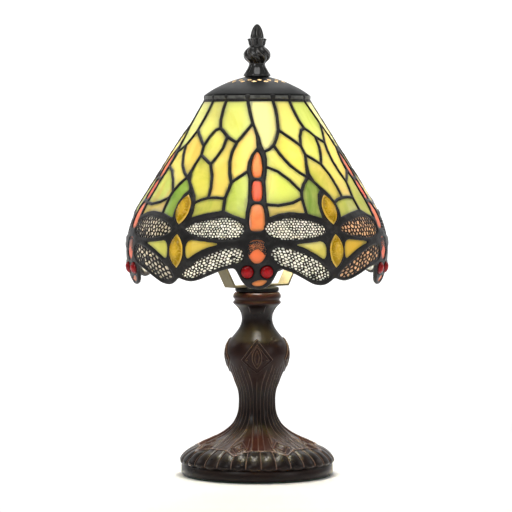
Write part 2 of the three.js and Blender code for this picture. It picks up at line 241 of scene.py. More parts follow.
def lead():
    """Solder and came, blackened: dark grey with paler rubbed spots."""
    n = Nodes("blackened_lead")
    blotch = n.noise(90, detail=6, rough=0.65)
    colour = n.ramp(blotch, (0.30, srgb(23, 22, 22)), (0.55, srgb(37, 35, 34)), (0.78, srgb(76, 74, 71)))
    n.bump(n.noise(420, detail=3), 0.35, 0.0004)
    n.set(color=colour, rough=n.grey(blotch, 0.32, 0.5), metal=0.25, specular=0.4)
    return n.material


def filigree():
    """The pierced overlay on the wings: thin blackened brass with paler spots."""
    n = Nodes("pierced_overlay")
    blotch = n.noise(260, detail=4, rough=0.6)
    colour = n.ramp(blotch, (0.32, srgb(28, 27, 27)), (0.58, srgb(50, 49, 49)),
                    (0.78, srgb(112, 108, 102)))
    n.set(color=colour, rough=0.36, metal=0.3, specular=0.4)
    return n.material


def cabochon(name, rim, deep, painted_heart, through):
    """Polished glass, veined, coloured by place on its dome: painted light and shade at its edge, its
    deep colour over most of the dome and a painted bright heart.
    """
    n = Nodes(name)
    veil = n.noise(260, detail=4, rough=0.6, distortion=1.8)
    where = n.attribute("dome")
    # Painted light and shade by place on the dome: the edge colour and the brighter heart stand in for
    # light through the glass.
    body = n.ramp(where, (0.0, rim), (0.2, rim), (0.4, deep), (0.58, deep), (0.88, painted_heart))
    colour = n.mix(n.grey(veil, 0.0, 0.4, 0.48, 0.68), body, rim)
    n.set(color=colour, rough=0.06, coat=0.2, coat_rough=0.03, ior=1.4)
    n.translucent(through, colour)
    return n.material


def patina(name, dark, mid, worn, rough=(0.22, 0.36), metal=0.0, specular=0.22):
    """Bronze finish: dark on the flats, reddish where it was left unrubbed, rubbed pale on the ridges,
    and pale in painted highlights where the wear attribute carries them.
    """
    n = Nodes(name)
    wear = n.attribute("wear")
    blotch = n.noise(60, detail=6, rough=0.6)
    base = n.mix(n.grey(blotch, 0.0, 1.0, 0.35, 0.65), dark, mid)
    ruddy = n.mix(n.attribute("red"), base, srgb(70, 26, 14))
    colour = n.mix(n.grey(wear, 0.0, 0.85, 0.25, 0.95), ruddy, worn)
    n.bump(n.noise(300, detail=4), 0.12, 0.0004)
    n.set(color=colour, rough=n.grey(blotch, *rough), metal=metal, specular=specular)
    return n.material


def plain(name, colour, rough, metal=0.0, fleck=0.12, scale=180, coat=0.0, specular=0.5):
    """A plain finish, its colour and gloss slightly uneven."""
    n = Nodes(name)
    spots = n.noise(scale, detail=5, rough=0.6)
    dark = tuple(c * (1 - fleck) for c in colour)
    light = tuple(min(1, c * (1 + fleck)) for c in colour)
    n.bump(spots, 0.06, 0.0003)
    n.set(color=n.ramp(spots, (0.35, dark), (0.65, light)), rough=n.grey(spots, rough * 0.8, rough * 1.2),
          metal=metal, coat=coat, coat_rough=0.08, specular=specular)
    return n.material


def brushed(name, colour, rough, stretch):
    """Metal with fine lines along the axis that is stretched least."""
    n = Nodes(name)
    lines = n.noise(500, detail=3, rough=0.7, stretch=stretch)
    dark = tuple(c * 0.8 for c in colour)
    n.bump(lines, 0.1, 0.0002)
    n.set(color=n.ramp(lines, (0.35, dark), (0.65, colour)), metal=1.0,
          rough=n.grey(lines, rough * 0.75, rough * 1.25))
    return n.material


def bulb_glass():
    n = Nodes("frosted_bulb_glass")
    frost = n.noise(400, detail=2)
    n.bump(frost, 0.05, 0.0002)
    n.set(color=n.ramp(frost, (0.3, srgb(250, 236, 205)), (0.7, srgb(255, 246, 226))), rough=0.3,
          glow=(1.0, 0.82, 0.55), glow_strength=3.0, coat=0.6, coat_rough=0.05)
    return n.material


def felt():
    n = Nodes("green_felt")
    fibre = n.noise(900, detail=4, rough=0.8)
    n.bump(fibre, 0.5, 0.0006)
    n.set(color=n.ramp(fibre, (0.3, srgb(20, 42, 28)), (0.7, srgb(44, 78, 54))), rough=0.95, sheen=0.4)
    return n.material


# ------------------------------------------------------------------ mesh helpers


def mesh_object(name, vertices, faces, material, sharp=None):
    """A smooth-shaded piece. Edges bent more than `sharp` degrees stay crisp."""
    mesh = bpy.data.meshes.new(name)
    mesh.from_pydata([tuple(v) for v in vertices], [], [tuple(f) for f in faces])
    mesh.materials.append(material)
    mesh.polygons.foreach_set("use_smooth", [True] * len(mesh.polygons))
    piece = bpy.data.objects.new(name, mesh)
    bpy.context.scene.collection.objects.link(piece)
    if sharp:
        mesh.set_sharp_from_angle(angle=sharp * DEG)
    return piece


def paint(piece, name, colours):
    """Stores one colour a vertex under that attribute name."""
    colours = np.asarray(colours, dtype=np.float32)
    if colours.ndim == 1:
        colours = np.repeat(colours[:, None], 3, axis=1)
    full = np.ones((len(colours), 4), dtype=np.float32)
    full[:, :3] = colours
    layer = piece.data.color_attributes.new(name, "FLOAT_COLOR", "POINT")
    layer.data.foreach_set("color", full.ravel())


def finish_piece(piece, body, slot, *nodes):
    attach(piece, body)
    if nodes:
        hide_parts(*nodes)
    return piece


def closed_sheet(keep, outer, inner, ring=False):
    """A closed solid between two grids of points, kept where a grid cell's flag is set.

    On a ring the last column of points is the first again."""
    rows, cols = keep.shape
    used = np.zeros((rows + 1, cols + 1), dtype=bool)
    for di in (0, 1):
        for dj in (0, 1):
            used[di:rows + di, dj:cols + dj] |= keep
    if ring:
        used[:, 0] |= used[:, -1]
        used[:, -1] = False
    index = np.full(used.shape, -1)
    count = int(used.sum())
    index[used] = np.arange(count)
    if ring:
        index[:, -1] = index[:, 0]
    a, b = index[:-1, :-1][keep], index[:-1, 1:][keep]
    c, d = index[1:, 1:][keep], index[1:, :-1][keep]
    top = np.stack([d, c, b, a], axis=1)
    bottom = np.stack([a, b, c, d], axis=1) + count
    padded = np.zeros((rows + 2, cols + 2), dtype=bool)
    padded[1:-1, 1:-1] = keep
    if ring:
        padded[1:-1, 0], padded[1:-1, -1] = keep[:, -1], keep[:, 0]
    walls = []
    edges = (
        (~padded[:-2, 1:-1], index[:-1, :-1], index[:-1, 1:]),
        (~padded[2:, 1:-1], index[1:, 1:], index[1:, :-1]),
        (~padded[1:-1, :-2], index[1:, :-1], index[:-1, :-1]),
        (~padded[1:-1, 2:], index[:-1, 1:], index[1:, 1:]),
    )
    for open_side, start, end in edges:
        side = keep & open_side
        s, e = start[side], end[side]
        walls.append(np.stack([s, e, e + count, s + count], axis=1))
    vertices = np.concatenate([outer[used], inner[used]])
    return vertices, np.concatenate([top, bottom, *walls]), used


def ring_faces(rows, count, closed=False, start=0):
    """Quads that join each ring of `count` points to the next, and the last to the first if closed."""
    faces = []
    for i in range(rows if closed else rows - 1):
        low, high = start + i * count, start + (i + 1) % rows * count
        for j in range(count):
            k = (j + 1) % count
            faces.append((low + j, low + k, high + k, high + j))
    return faces


def fan_faces(tip, ring, count):
    """Triangles from a tip point to the ring that starts at index `ring`."""
    return [(ring + j, ring + (j + 1) % count, tip) for j in range(count)]


def turned(name, profile, material, segments=96, body="root", slot=None, nodes=()):
    """Revolves (r, z) points, in millimetres, about Z. The profile ends where it began."""
    angles = [2 * math.pi * k / segments for k in range(segments)]
    vertices, rings = [], []
    for r, z in profile[:-1]:
        start = len(vertices)
        if r < 1e-4:
            rings.append([start] * segments)
            vertices.append((0, 0, z * MM))
        else:
            rings.append(list(range(start, start + segments)))
            vertices += [(r * MM * math.cos(a), r * MM * math.sin(a), z * MM) for a in angles]
    faces = []
    for low, high in zip(rings, rings[1:] + rings[:1]):
        for k in range(segments):
            j = (k + 1) % segments
            corners = [low[k], low[j], high[j], high[k]]
            face = [c for i, c in enumerate(corners) if c != corners[i - 1]]
            if len(face) > 2:
                faces.append(face)
    piece = mesh_object(name, vertices, faces, material, sharp=38)
    return finish_piece(piece, body, slot, *nodes)


def worked_surface(outline, theta):
    """A turned surface to raise ornament on, from an outline in metres and angles in degrees.

    Gives the angles, radii and heights as grids, and the outline's outward normal (r and z parts)."""
    th, r = np.meshgrid(theta, outline[:, 0])
    z = np.repeat(outline[:, 1:], len(theta), axis=1)
    tangent = np.gradient(outline, axis=0)
    tangent /= np.linalg.norm(tangent, axis=1)[:, None]
    return th, r, z, tangent[:, 1:], -tangent[:, :1]


def spline(points, steps):
    """A smooth line, in metres, through a few points in millimetres."""
    p = np.array(points, dtype=float) * MM
    p = np.vstack([2 * p[0] - p[1], p, 2 * p[-1] - p[-2]])
    out = []
    for a, b, c, d in zip(p, p[1:], p[2:], p[3:]):
        for t in np.linspace(0, 1, steps, endpoint=False):
            square = 2 * a - 5 * b + 4 * c - d
            cube = 3 * b - a - 3 * c + d
            out.append(0.5 * (2 * b + (c - a) * t + square * t ** 2 + cube * t ** 3))
    out.append(p[-2])
    return np.array(out)


def smoothstep(x, low, high):
    """0 below low, 1 above high, smooth between."""
    t = np.clip((x - low) / (high - low), 0, 1)
    return t * t * (3 - 2 * t)


def ridge(distance, width):
    """A raised line: 1 on it, falling smoothly to 0 at its width."""
    t = np.clip(1 - np.abs(distance) / width, 0, 1)
    return t ** 2 * (3 - 2 * t)


def mirrored(right):
    """A closed outline from its right half, drawn from top to bottom."""
    return right + [(-u, v) for u, v in right[::-1] if u]


# ------------------------------------------------------------------ the drawing: leads and glass

# Where leads meet. u in degrees, v as a share of the slant.
KNOT = {
    "T1": (17, 0), "T2": (37, 0), "T3": (62, 0), "A": (17, .165), "B": (31.8, .25), "C": (41.3, .155),
    "D": (49.4, .20), "E": (57.5, .232), "F": (68.4, .128), "S": (4.4, .282), "Q": (11.5, .248),
    "H": (33, .30), "G": (42.6, .35), "O": (29.3, .42), "R": (23.2, .497), "U1": (5, .362),
    "U2": (3.9, .562), "V": (22.6, .53), "W0": (5, .638), "W1": (23, .618), "W2": (31.3, .645),
    "N": (40.3, .557), "N2": (40.4, .642), "I": (47.3, .53), "K": (56, .532), "J": (58, .447),
    "M": (56.3, .602), "L": (66.8, .385), "X": (67.4, .648),
}
# The bends of each lead on its way from knot to knot. A lead that isn't listed is straight. The two
# that are listed both ways have one side cut straight.
LEADS = {
    "T1 A": [(18.2, .05), (18, .10)], "A Q": [(14.5, .208)], "Q S": [(8, .27)],
    "S T1": [(2.4, .25), (.8, .20), (-1.5, .16), (-3.6, .128), (-6.5, .07), (-10, 0)],
    "T2 C": [(37.3, .05), (38.8, .11)], "C B": [(37.5, .165), (34, .20)], "B A": [(24.5, .205)],
    "T3 F": [(65, .06)], "F E": [(63, .178)], "E D": [(53.5, .218)], "D C": [(45, .172)],
    "D G": [(48.3, .26), (45.6, .31)], "G H": [(38, .325)], "L J": [(62.5, .415)],
    "E J": [(55.5, .28), (55, .335), (56.2, .395)], "J K": [(57.2, .485)], "K I": [(51.5, .528)],
    "I G": [(47.2, .475), (45.8, .41)], "X M": [(62, .628)], "M K": [(56.2, .56)], "K M": [],
    "F L": [(70.5, .155), (72.3, .20), (72.8, .262), (69.2, .30), (67.3, .34)],
    "L X": [(68.2, .425), (68.4, .49), (68.3, .545), (67.6, .60)],
    "N I": [(43.5, .54)], "M N2": [(48, .618)], "N2 N": [(40.8, .60)], "H O": [(31.3, .35)],
    "N H": [(38.8, .52), (35.8, .483), (32.3, .445), (30.6, .40), (31.3, .35)],
    "O W2": [(31.5, .437), (34.2, .468), (35.2, .49), (32.8, .515), (31.2, .56), (31, .60)],
    "W2 W1": [(27, .632)], "W1 V": [(22.7, .57)], "V W1": [], "R O": [(25.8, .455)],
    "O Q": [(25.5, .398), (20, .355), (15, .297)], "R U1": [(18, .435), (12, .388)],
    "U1 S": [(5.2, .32)], "V U2": [(17, .555), (10, .568)], "W1 W0": [(15, .61), (10, .618)],
    "U2 U1": [(3.7, .50), (3.7, .44), (4.5, .40)], "W0 U2": [(4.6, .60)],
}
# Background pieces: the knots round each, its tint and the colour of its streaks.
BACKGROUND = {
    "cream_tip": ("T1 A Q S", (243, 239, 188), (235, 231, 166)),
    "top_middle": ("T1 T2 C B A", (235, 233, 160), (227, 227, 140)),
    "top_right": ("T2 T3 F E D C", (227, 227, 152), (213, 217, 128)),
    "small_leaf": ("B C D G H", (227, 227, 144), (211, 215, 122)),
    "tall_peach": ("D E J K I G", (231, 221, 136), (235, 205, 140)),
    "beside_tail": ("E F L J", (233, 221, 134), (227, 209, 120)),
    "beside_body": ("J L X M K", (213, 217, 126), (195, 205, 110)),
    "low_square": ("N I K M N2", (209, 211, 120), (189, 199, 104)),
    "long_drop": ("H G I N", (219, 217, 122), (201, 205, 108)),
    "green_leaf": ("O W2 W1 V R", (168, 190, 94), (138, 168, 80)),
    "gold_slope": ("A B H O Q", (231, 221, 132), (227, 209, 120)),
    "pale_slope": ("S Q O R U1", (233, 229, 148), (217, 219, 128)),
    "lime_dome": ("U1 R V U2", (209, 211, 122), (221, 189, 114)),
    "amber_band": ("U2 V W1 W0", (221, 207, 122), (231, 195, 122)),
}
# Openings in the web of lead, round the dragonfly, already clear of their leads, and their tints.
BODY = {
    "tail": ([(.3, .275), (2.6, .31), (3.3, .36), (2.6, .405), (2, .422), (-2, .422), (-2.8, .40),
              (-3.4, .355), (-2.2, .305)], (226, 166, 106)),
    "waist": (mirrored([(2.1, .436), (2.7, .47), (2.7, .51), (2, .546)]), (230, 138, 100)),
    "belly": (mirrored([(2.2, .562), (3.3, .60), (3.5, .64), (3.2, .68), (2.3, .696)]), (234, 176, 124)),
    "thorax": (mirrored([(0, .734), (3, .742), (3.8, .77), (3.9, .80), (3, .825), (1.2, .845)]),
               (230, 148, 100)),
    "chin": ([(-2.9, .940), (-.4, .926), (2, .921), (4.7, .926), (3.2, .943), (1.4, .955), (-.6, .956)],
             (234, 172, 108)),
}
# The wings, by the side of the lead between two dragonflies that they reach from.
WINGS = {
    "upper_right": [(3.6, .665), (7, .65), (13.5, .632), (20, .638), (27, .655), (32.5, .688),
                    (29.5, .715), (24, .727), (16, .738), (9.5, .735), (4.5, .715), (3.4, .69)],
    "upper_left": [(39.2, .685), (43, .66), (50, .645), (57.5, .628), (62, .64), (66.5, .672),
                   (66.5, .705), (64, .728), (58, .735), (50, .73), (43, .715), (39.5, .697)],
    "lower_right": [(6, .785), (9, .768), (15, .783), (22, .808), (28, .847), (33.4, .9), (32, .924),
                    (28.3, .933), (23, .918), (15, .88), (9, .848), (6, .82)],
    "lower_left": [(37.3, .903), (42, .862), (48, .822), (55, .792), (61, .772), (65.5, .78),
                   (66.3, .81), (65.5, .835), (60, .852), (54, .875), (48, .905), (42, .922),
                   (38.5, .918)],
}
# The pointed pieces between a wing above and one below, and their tints.
STARS = {
    "right_pale": ([(15.5, .758), (23, .752), (30.6, .742), (30.6, .838), (26, .808), (20.5, .775)],
                   (226, 226, 128)),
    "left_amber": ([(40.2, .737), (48, .745), (57, .755), (50, .775), (44.5, .805), (40.2, .838)],
                   (236, 204, 84)),
}
CLEAR = (250, 250, 248)
# Wings whose rippled glass isn't clear: (unit, side) and its tint.
WING_TINTS = {(5, "right"): (222, 216, 208), (1, "left"): (232, 204, 178), (3, "right"): (232, 220, 204),
              (3, "left"): (222, 216, 204)}
# Painted sheen: the two side dragonflies, seen at a slant, get paler and pinker body glass.
SLANT_SHEEN_BODIES = (2, 5)  # the dragonflies whose orange glass is paler and pinker
# The scalloped hem, from the middle of one dragonfly's head to the next.
HEM = [(0, .965), (2.5, .962), (4.7, .949), (6.3, .928), (7.5, .899), (8.2, .875), (9.3, .865),
       (11, .868), (16, .889), (21, .918), (25.5, .944), (29, .951), (31.5, .947), (33.4, .934),
       (34.8, .920), (35.6, .914), (36.5, .917), (39, .927), (42, .932), (46, .922), (51, .90),
       (56, .877), (60, .866), (62.7, .864), (63.8, .875), (64.5, .899), (65.7, .928), (67.3, .949),
       (69.5, .962)]
UPPER_GEM = (35.5, .592)
LOWER_GEM = (35.6, .792)
GEM_HALF = (6.1 * MM, 12.6 * MM)  # half a gem's width and height
EYES = ((-4.1, .884), (4.1, .884))
EYE_R = 5.1 * MM

WING_GROW = 0.45 * MM  # how far a wing's opening reaches past its drawn outline
LEAD_HALF = 1.22 * MM  # half a lead's width where it runs between two pieces
LEAD_HIGH = 1.0 * MM  # how far a lead stands out of the glass
GLASS_DEPTH = 1.3 * MM  # the glass's outer face, under the leads' crowns
GLASS_THICK = 1.7 * MM
STEP = 0.62 * MM  # spacing of the leading's grid
GLASS_STEP = 0.7 * MM
GLASS_LAP = 1.0 * MM  # how far a piece of glass reaches under its leads
WEB_STEP = 0.27 * MM  # fine enough for the holes over the wings
DOME_RINGS = 10  # from a cabochon's edge to its top
CAP_RIM_R = 40.5 * MM  # where the leads are soldered to the cap
CAP_RIM_Z = 290.4 * MM


def lead_loop(knots):
    """The loop round a background piece, along the middle of its leads."""
    names = knots.split()
    loop = []
    for a, b in zip(names, names[1:] + names[:1]):
        backward = LEADS.get(f"{b} {a}", [])[::-1]
        loop += [KNOT[a], *LEADS.get(f"{a} {b}", backward)]
    return loop


def rounded(loop):
    """An opening's corners softened by cutting them twice."""
    pts = np.array(loop, dtype=float)
    for _ in range(2):
        nxt = np.roll(pts, -1, axis=0)
        pts = np.stack([0.75 * pts + 0.25 * nxt, 0.25 * pts + 0.75 * nxt], axis=1).reshape(-1, 2)
    return [tuple(p) for p in pts]


def depth_inside(u, v, loop):
    """Distance in metres from each (u, v) to the loop, positive inside it."""
    r = shade_radius(v) * DEG
    best = np.full(u.shape, 1e9)
    inside = np.zeros(u.shape, dtype=bool)
    for (u0, v0), (u1, v1) in zip(loop, loop[1:] + loop[:1]):
        ax, ay = (u0 - u) * r, (v0 - v) * SLANT
        bx, by = (u1 - u0) * r, (v1 - v0) * SLANT
        t = np.clip(-(ax * bx + ay * by) / (bx * bx + by * by), 0, 1)
        best = np.minimum(best, np.hypot(ax + t * bx, ay + t * by))
        crosses = (v0 > v) != (v1 > v)
        with np.errstate(divide="ignore", invalid="ignore"):
            at = u0 + (v - v0) * (u1 - u0) / (v1 - v0)
        inside ^= crosses & (u < at)
    return np.where(inside, best, -best)


def marquise(u, v, grow=0.0):
    """A pointed oval in the drawing, grown by a distance."""
    wide, tall = GEM_HALF[0] + grow, GEM_HALF[1] + grow
    r = float(shade_radius(v)) * DEG
    rise = (tall ** 2 - wide ** 2) / (2 * wide)
    y = np.linspace(-tall, tall, 17)
    x = np.sqrt((rise + wide) ** 2 - y ** 2) - rise
    right = [(u + a / r, v + b / SLANT) for a, b in zip(x, y)]
    left = [(u - a / r, v + b / SLANT) for a, b in zip(x[::-1], y[::-1])]
    return right + left[1:-1]


def disc(u, v, radius):
    """A circle in the drawing."""
    r = float(shade_radius(v)) * DEG
    turn = np.linspace(0, 2 * math.pi, 24, endpoint=False)
    return [(u + radius * math.cos(a) / r, v + radius * math.sin(a) / SLANT) for a in turn]


def openings():
    """Every opening in one unit's web of lead: (loop, how far the glass's edge lies inside it)."""
    out = [(lead_loop(knots), LEAD_HALF) for knots, *_ in BACKGROUND.values()]
    out += [(rounded(loop), -WING_GROW) for loop in WINGS.values()]
    out += [(rounded(loop), 0.0) for loop, _ in (*BODY.values(), *STARS.values())]
    out += [(marquise(*UPPER_GEM), 0.0), (marquise(*LOWER_GEM), 0.0)]
    out += [(disc(u, v, EYE_R * 0.93), 0.0) for u, v in EYES]
    return out


def grid(u_low, u_high, v_low, v_high, step):
    """Vertices of a grid over the drawing, near enough square on the glass."""
    wide = (u_high - u_low) * DEG * float(shade_radius(min(1, v_high)))
    cols = max(3, int(round(wide / step)))
    rows = max(3, int(round((v_high - v_low) * SLANT / step)))
    return np.meshgrid(np.linspace(u_low, u_high, cols + 1), np.linspace(v_low, v_high, rows + 1))


def hem_line(u):
    """The hem's v at any u."""
    us = [p[0] for p in HEM] + [UNIT]
    vs = [p[1] for p in HEM] + [HEM[0][1]]
    return np.interp(np.mod(u, UNIT), us, vs)


def cell_all(values):
    """For each grid cell, whether the flag is set at all four corners."""
    return values[:-1, :-1] & values[:-1, 1:] & values[1:, 1:] & values[1:, :-1]


def leading_field(u, v):
    """How far each point lies inside the lead, in metres; negative in an opening."""
    field = np.full(u.shape, 1e9)
    for loop, inset in openings():
        for turn in (-UNIT, 0, UNIT):
            shifted = [(a + turn, b) for a, b in loop]
            if off_grid(shifted, u):
                continue
            field = np.minimum(field, inset - depth_inside(u, v, shifted))
    return field


def off_grid(loop, u):
    """True if a loop lies well to one side of the grid."""
    return max(p[0] for p in loop) < u.min() - 4 or min(p[0] for p in loop) > u.max() + 4


def bead(field):
    """A solder bead's height over the glass: round, level across wide webs, sunk in the openings."""
    t = np.clip(field / (LEAD_HALF * 1.05), 0, 1)
    crown = LEAD_HIGH * np.sqrt(1 - (1 - t) ** 2)
    return np.where(field > 0, crown, np.maximum(field * 1.6, -0.9 * MM))


def make_leading(materials):
    """The web of lead and solder, one piece a unit."""
    u, v = grid(0, UNIT, -0.004, 0.968, STEP)
    field = leading_field(u, v)
    keep = cell_all((field > -1.0 * MM) & (v < hem_line(u) - 0.001))
    rng = np.random.default_rng(LEAD_SEED)
    waves = rng.uniform(0.5, 60, (8, 3)) * (0.02, 1, 3)
    lumps = sum(np.sin(u * a + b * 7) * np.sin(v * c + a * 5) for a, b, c in waves)
    height = bead(field) + np.where(field > 0.5 * MM, 0.05 * MM * lumps, 0)
    inner = GLASS_DEPTH + GLASS_THICK + 0.6 * bead(field)
    for k in range(UNITS):
        around = u + k * UNIT
        outside = shade_point(around, v, GLASS_DEPTH - height)
        vertices, faces, _ = closed_sheet(keep, outside, shade_point(around, v, inner))
        piece = mesh_object(f"leading_{k + 1}", vertices, faces, materials["lead"], sharp=60)
        finish_piece(piece, "shade", "blackened", f"dragonfly_panel_{k + 1}")


def glass_piece(loop, inset, turn, rng, crown=0.12 * MM, face=0.0):
    """One cut of glass under its leads: a closed, faintly uneven sheet, and a painted shade factor for
    each point, darker towards the leads.
    """
    us = [p[0] for p in loop]
    vs = [p[1] for p in loop]
    top, bottom = max(-0.004, min(vs) - 0.01), max(vs) + 0.01
    u, v = grid(min(us) - 1, max(us) + 1, top, bottom, GLASS_STEP)
    inside = depth_inside(u, v, loop) - inset
    keep = cell_all((inside > -GLASS_LAP) & (v < hem_line(u) - 0.004))
    tilt = rng.normal(0, 1, 3) * 0.05 * MM
    span_u, span_v = max(us) - min(us), max(vs) - min(vs)
    lean = tilt[0] * (u - np.mean(us)) / span_u + tilt[1] * (v - np.mean(vs)) / span_v + tilt[2]
    waves = 0.03 * MM * np.sin(u * 0.9 + v * 40 + tilt[0] * 1e5) * np.sin(v * 70 - u * 0.5)
    swell = crown * np.sqrt(np.clip(inside / (4 * MM), 0, 1))
    outer = shade_point(u + turn, v, GLASS_DEPTH + face - swell - lean - waves)
    inner = shade_point(u + turn, v, GLASS_DEPTH + GLASS_THICK - 0.5 * lean)
    vertices, faces, used = closed_sheet(keep, outer, inner)
    # Painted shade: each cut darkens towards its leads, down to 0.72 at the edge.
    rim = (0.72 + 0.28 * smoothstep(inside, -0.2 * MM, 2.4 * MM))[used]
    return vertices, faces, np.concatenate([rim, rim])


def merged(name, sheets, material, sharp):
    """Several closed sheets, each (vertices, faces), as one object."""
    starts = np.cumsum([0] + [len(vertices) for vertices, _ in sheets[:-1]])
    vertices = np.concatenate([vertices for vertices, _ in sheets])
    faces = np.concatenate([faces + start for (_, faces), start in zip(sheets, starts)])
    return mesh_object(name, vertices, faces, material, sharp=sharp)


def joined(name, parts, material):
    """Cuts of glass as one object, each with its tint and accent, darkened beside the leads by painted
    shade.
    """
    piece = merged(name, [part[:2] for part, _, _ in parts], material, 55)
    paint(piece, "tint", np.concatenate([painted_lead_shade[:, None] * tint for (_, _, painted_lead_shade), tint, _ in parts]))
    paint(piece, "accent", np.concatenate([painted_lead_shade[:, None] * accent for (_, _, painted_lead_shade), _, accent in parts]))
    return piece


def varied(colour, rng, amount=0.035):
    """A colour a little off, as no two sheets of glass are the same."""
    return np.clip(np.array(srgb(*colour)) * (1 + rng.normal(0, amount, 3)), 0, 1)


def make_glass(materials):
    """Each unit's glass: its background, its dragonfly's body and its wings."""
    for k in range(UNITS):
        n = k + 1
        turn = k * UNIT
        rng = np.random.default_rng(GLASS_SEED + n)
        background = []
        for knots, tint, streak in BACKGROUND.values():
            part = glass_piece(lead_loop(knots), LEAD_HALF, turn, rng)
            background.append((part, varied(tint, rng), varied(streak, rng)))
        for loop, tint in STARS.values():
            part = glass_piece(rounded(loop), 0, turn, rng)
            tint = varied(tint, rng)
            background.append((part, tint, tint * 0.92))
        piece = joined(f"background_glass_{n}", background, materials["opal"])
        finish_piece(piece, "shade", "green_glass", f"background_panel_{n}")
        body = []
        for loop, tint in BODY.values():
            tint = varied(tint, rng, 0.03)
            # Painted sheen on the side dragonflies' bodies.
            if n in SLANT_SHEEN_BODIES:
                tint = 0.5 * (tint + srgb(238, 158, 150))
            body.append((glass_piece(rounded(loop), 0, turn, rng, crown=0.55 * MM), tint, tint))
        piece = joined(f"dragonfly_body_glass_{n}", body, materials["body"])
        finish_piece(piece, "shade", "green_glass")
        wings = []
        for name, loop in WINGS.items():
            tint = np.array(srgb(*WING_TINTS.get((n, name.split("_")[1]), CLEAR)))
            part = glass_piece(rounded(loop), -WING_GROW, turn, rng, face=0.4 * MM)
            wings.append((part, tint, tint))
        finish_piece(joined(f"wing_glass_{n}", wings, materials["ripple"]), "shade", "wing_glass")


WEB_HALF = 0.31 * MM  # half the width of the metal between two holes
# The pierced sheets: spacing of the holes, how much longer they are than wide, the metal's weight.
PIERCING = {"upper": (2.3 * MM, 1.0, 1.05), "lower": (2.15 * MM, 1.5, 1.1), "bow": (1.5 * MM, 1.0, 1.0)}
# Wings pierced with larger, wider-spaced holes: (unit, side) and how much.
COARSE = {(5, "right"): 1.5, (1, "left"): 1.5, (2, "right"): 1.25, (2, "left"): 1.4, (3, "right"): 1.4,
          (3, "left"): 1.4, (4, "right"): 1.4, (4, "left"): 1.25}
BOW = [(-3.7, .760), (-3.2, .748), (0, .739), (3.2, .748), (3.7, .760), (4.1, .795), (3.3, .812),
       (2, .792), (0, .776), (-2, .792), (-3.3, .812), (-4.1, .795)]


def wing_axis(loop):
    """Direction of a wing's length, as an angle on the glass, and its middle."""
    pts = np.array(loop)
    mid = pts.mean(axis=0)
    flat = (pts - mid) * (float(shade_radius(mid[1])) * DEG, SLANT)
    _, _, axes = np.linalg.svd(flat)
    return math.atan2(axes[0][1], axes[0][0]), mid


def web_field(u, v, loop, rng, pitch, stretch, weight):
    """Distance from the nearest hole's edge into the pierced overlay's web; negative in a hole."""
    angle, mid = wing_axis(loop)
    x = (u - mid[0]) * shade_radius(v) * DEG
    y = (v - mid[1]) * SLANT
    along = (x * math.cos(angle) + y * math.sin(angle)) / stretch
    across = -x * math.sin(angle) + y * math.cos(angle)
    half_x, half_y = 30 * MM / stretch, 16 * MM
    seeds = []
    for i, sy in enumerate(np.arange(-half_y, half_y, pitch * 0.86)):
        for sx in np.arange(-half_x, half_x, pitch):
            seeds.append((sx + pitch / 2 * (i % 2), sy))
    seeds = np.array(seeds)
    seeds += rng.uniform(-0.27, 0.27, seeds.shape) * pitch
    first = np.full(u.shape, 1e9)
    second = np.full(u.shape, 1e9)
    wall = np.zeros(u.shape)
    for (sx, sy), thick in zip(seeds, rng.uniform(0.7, 1.4, len(seeds)) * weight):
        near = (abs(along - sx) < 2 * pitch) & (abs(across - sy) < 2 * pitch)
        d = np.where(near, np.hypot(along - sx, across - sy), 1e9)
        wall = np.where(d < first, thick * WEB_HALF, wall)
        second = np.minimum(second, np.maximum(first, d))
        first = np.minimum(first, d)
    return wall - (second - first) / 2


def overlay_sheet(name, loop, unit, rng):
    """One wing's pierced sheet, or the bow's, as a closed solid."""
    kind, _, side = name.partition("_")
    on_wing = kind != "bow"
    us = [p[0] for p in loop]
    vs = [p[1] for p in loop]
    u, v = grid(min(us) - 1.2, max(us) + 1.2, min(vs) - 0.01, max(vs) + 0.01, WEB_STEP)
    pitch, stretch, weight = PIERCING[kind]
    scale = COARSE.get((unit, side), 1.0)
    web = web_field(u, v, loop, rng, pitch * scale, stretch, weight * scale ** 1.2)
    rim = depth_inside(u, v, rounded(loop)) + (WING_GROW if on_wing else 0.0)
    web = np.maximum(web + 0.16 * MM * (1 - smoothstep(rim, 0, 2 * MM)), 0.25 * MM - rim)
    keep = cell_all((web > -0.1 * MM) & (rim > (-0.7 * MM if on_wing else 0.0)))
    t = np.clip(web / WEB_HALF, 0, 1)
    height = np.where(web > 0, 0.38 * MM * np.sqrt(1 - (1 - t) ** 2), web * 4)
    sunk = GLASS_DEPTH + 0.1 * MM - height - (0.0 if on_wing else 0.3 * MM)
    u = u + (unit - 1) * UNIT
    inner = shade_point(u, v, GLASS_DEPTH + 0.6 * MM)
    return closed_sheet(keep, shade_point(u, v, sunk), inner)[:2]


def make_overlays(materials):
    """The pierced metal sheets over the wings: one piece a unit."""
    for unit in range(1, UNITS + 1):
        rng = np.random.default_rng(OVERLAY_SEED + unit)
        sheets = [overlay_sheet(name, loop, unit, rng) for name, loop in (*WINGS.items(), ("bow", BOW))]
        piece = merged(f"wing_overlay_{unit}", sheets, materials["filigree"], 60)
        finish_piece(piece, "shade", "blackened")


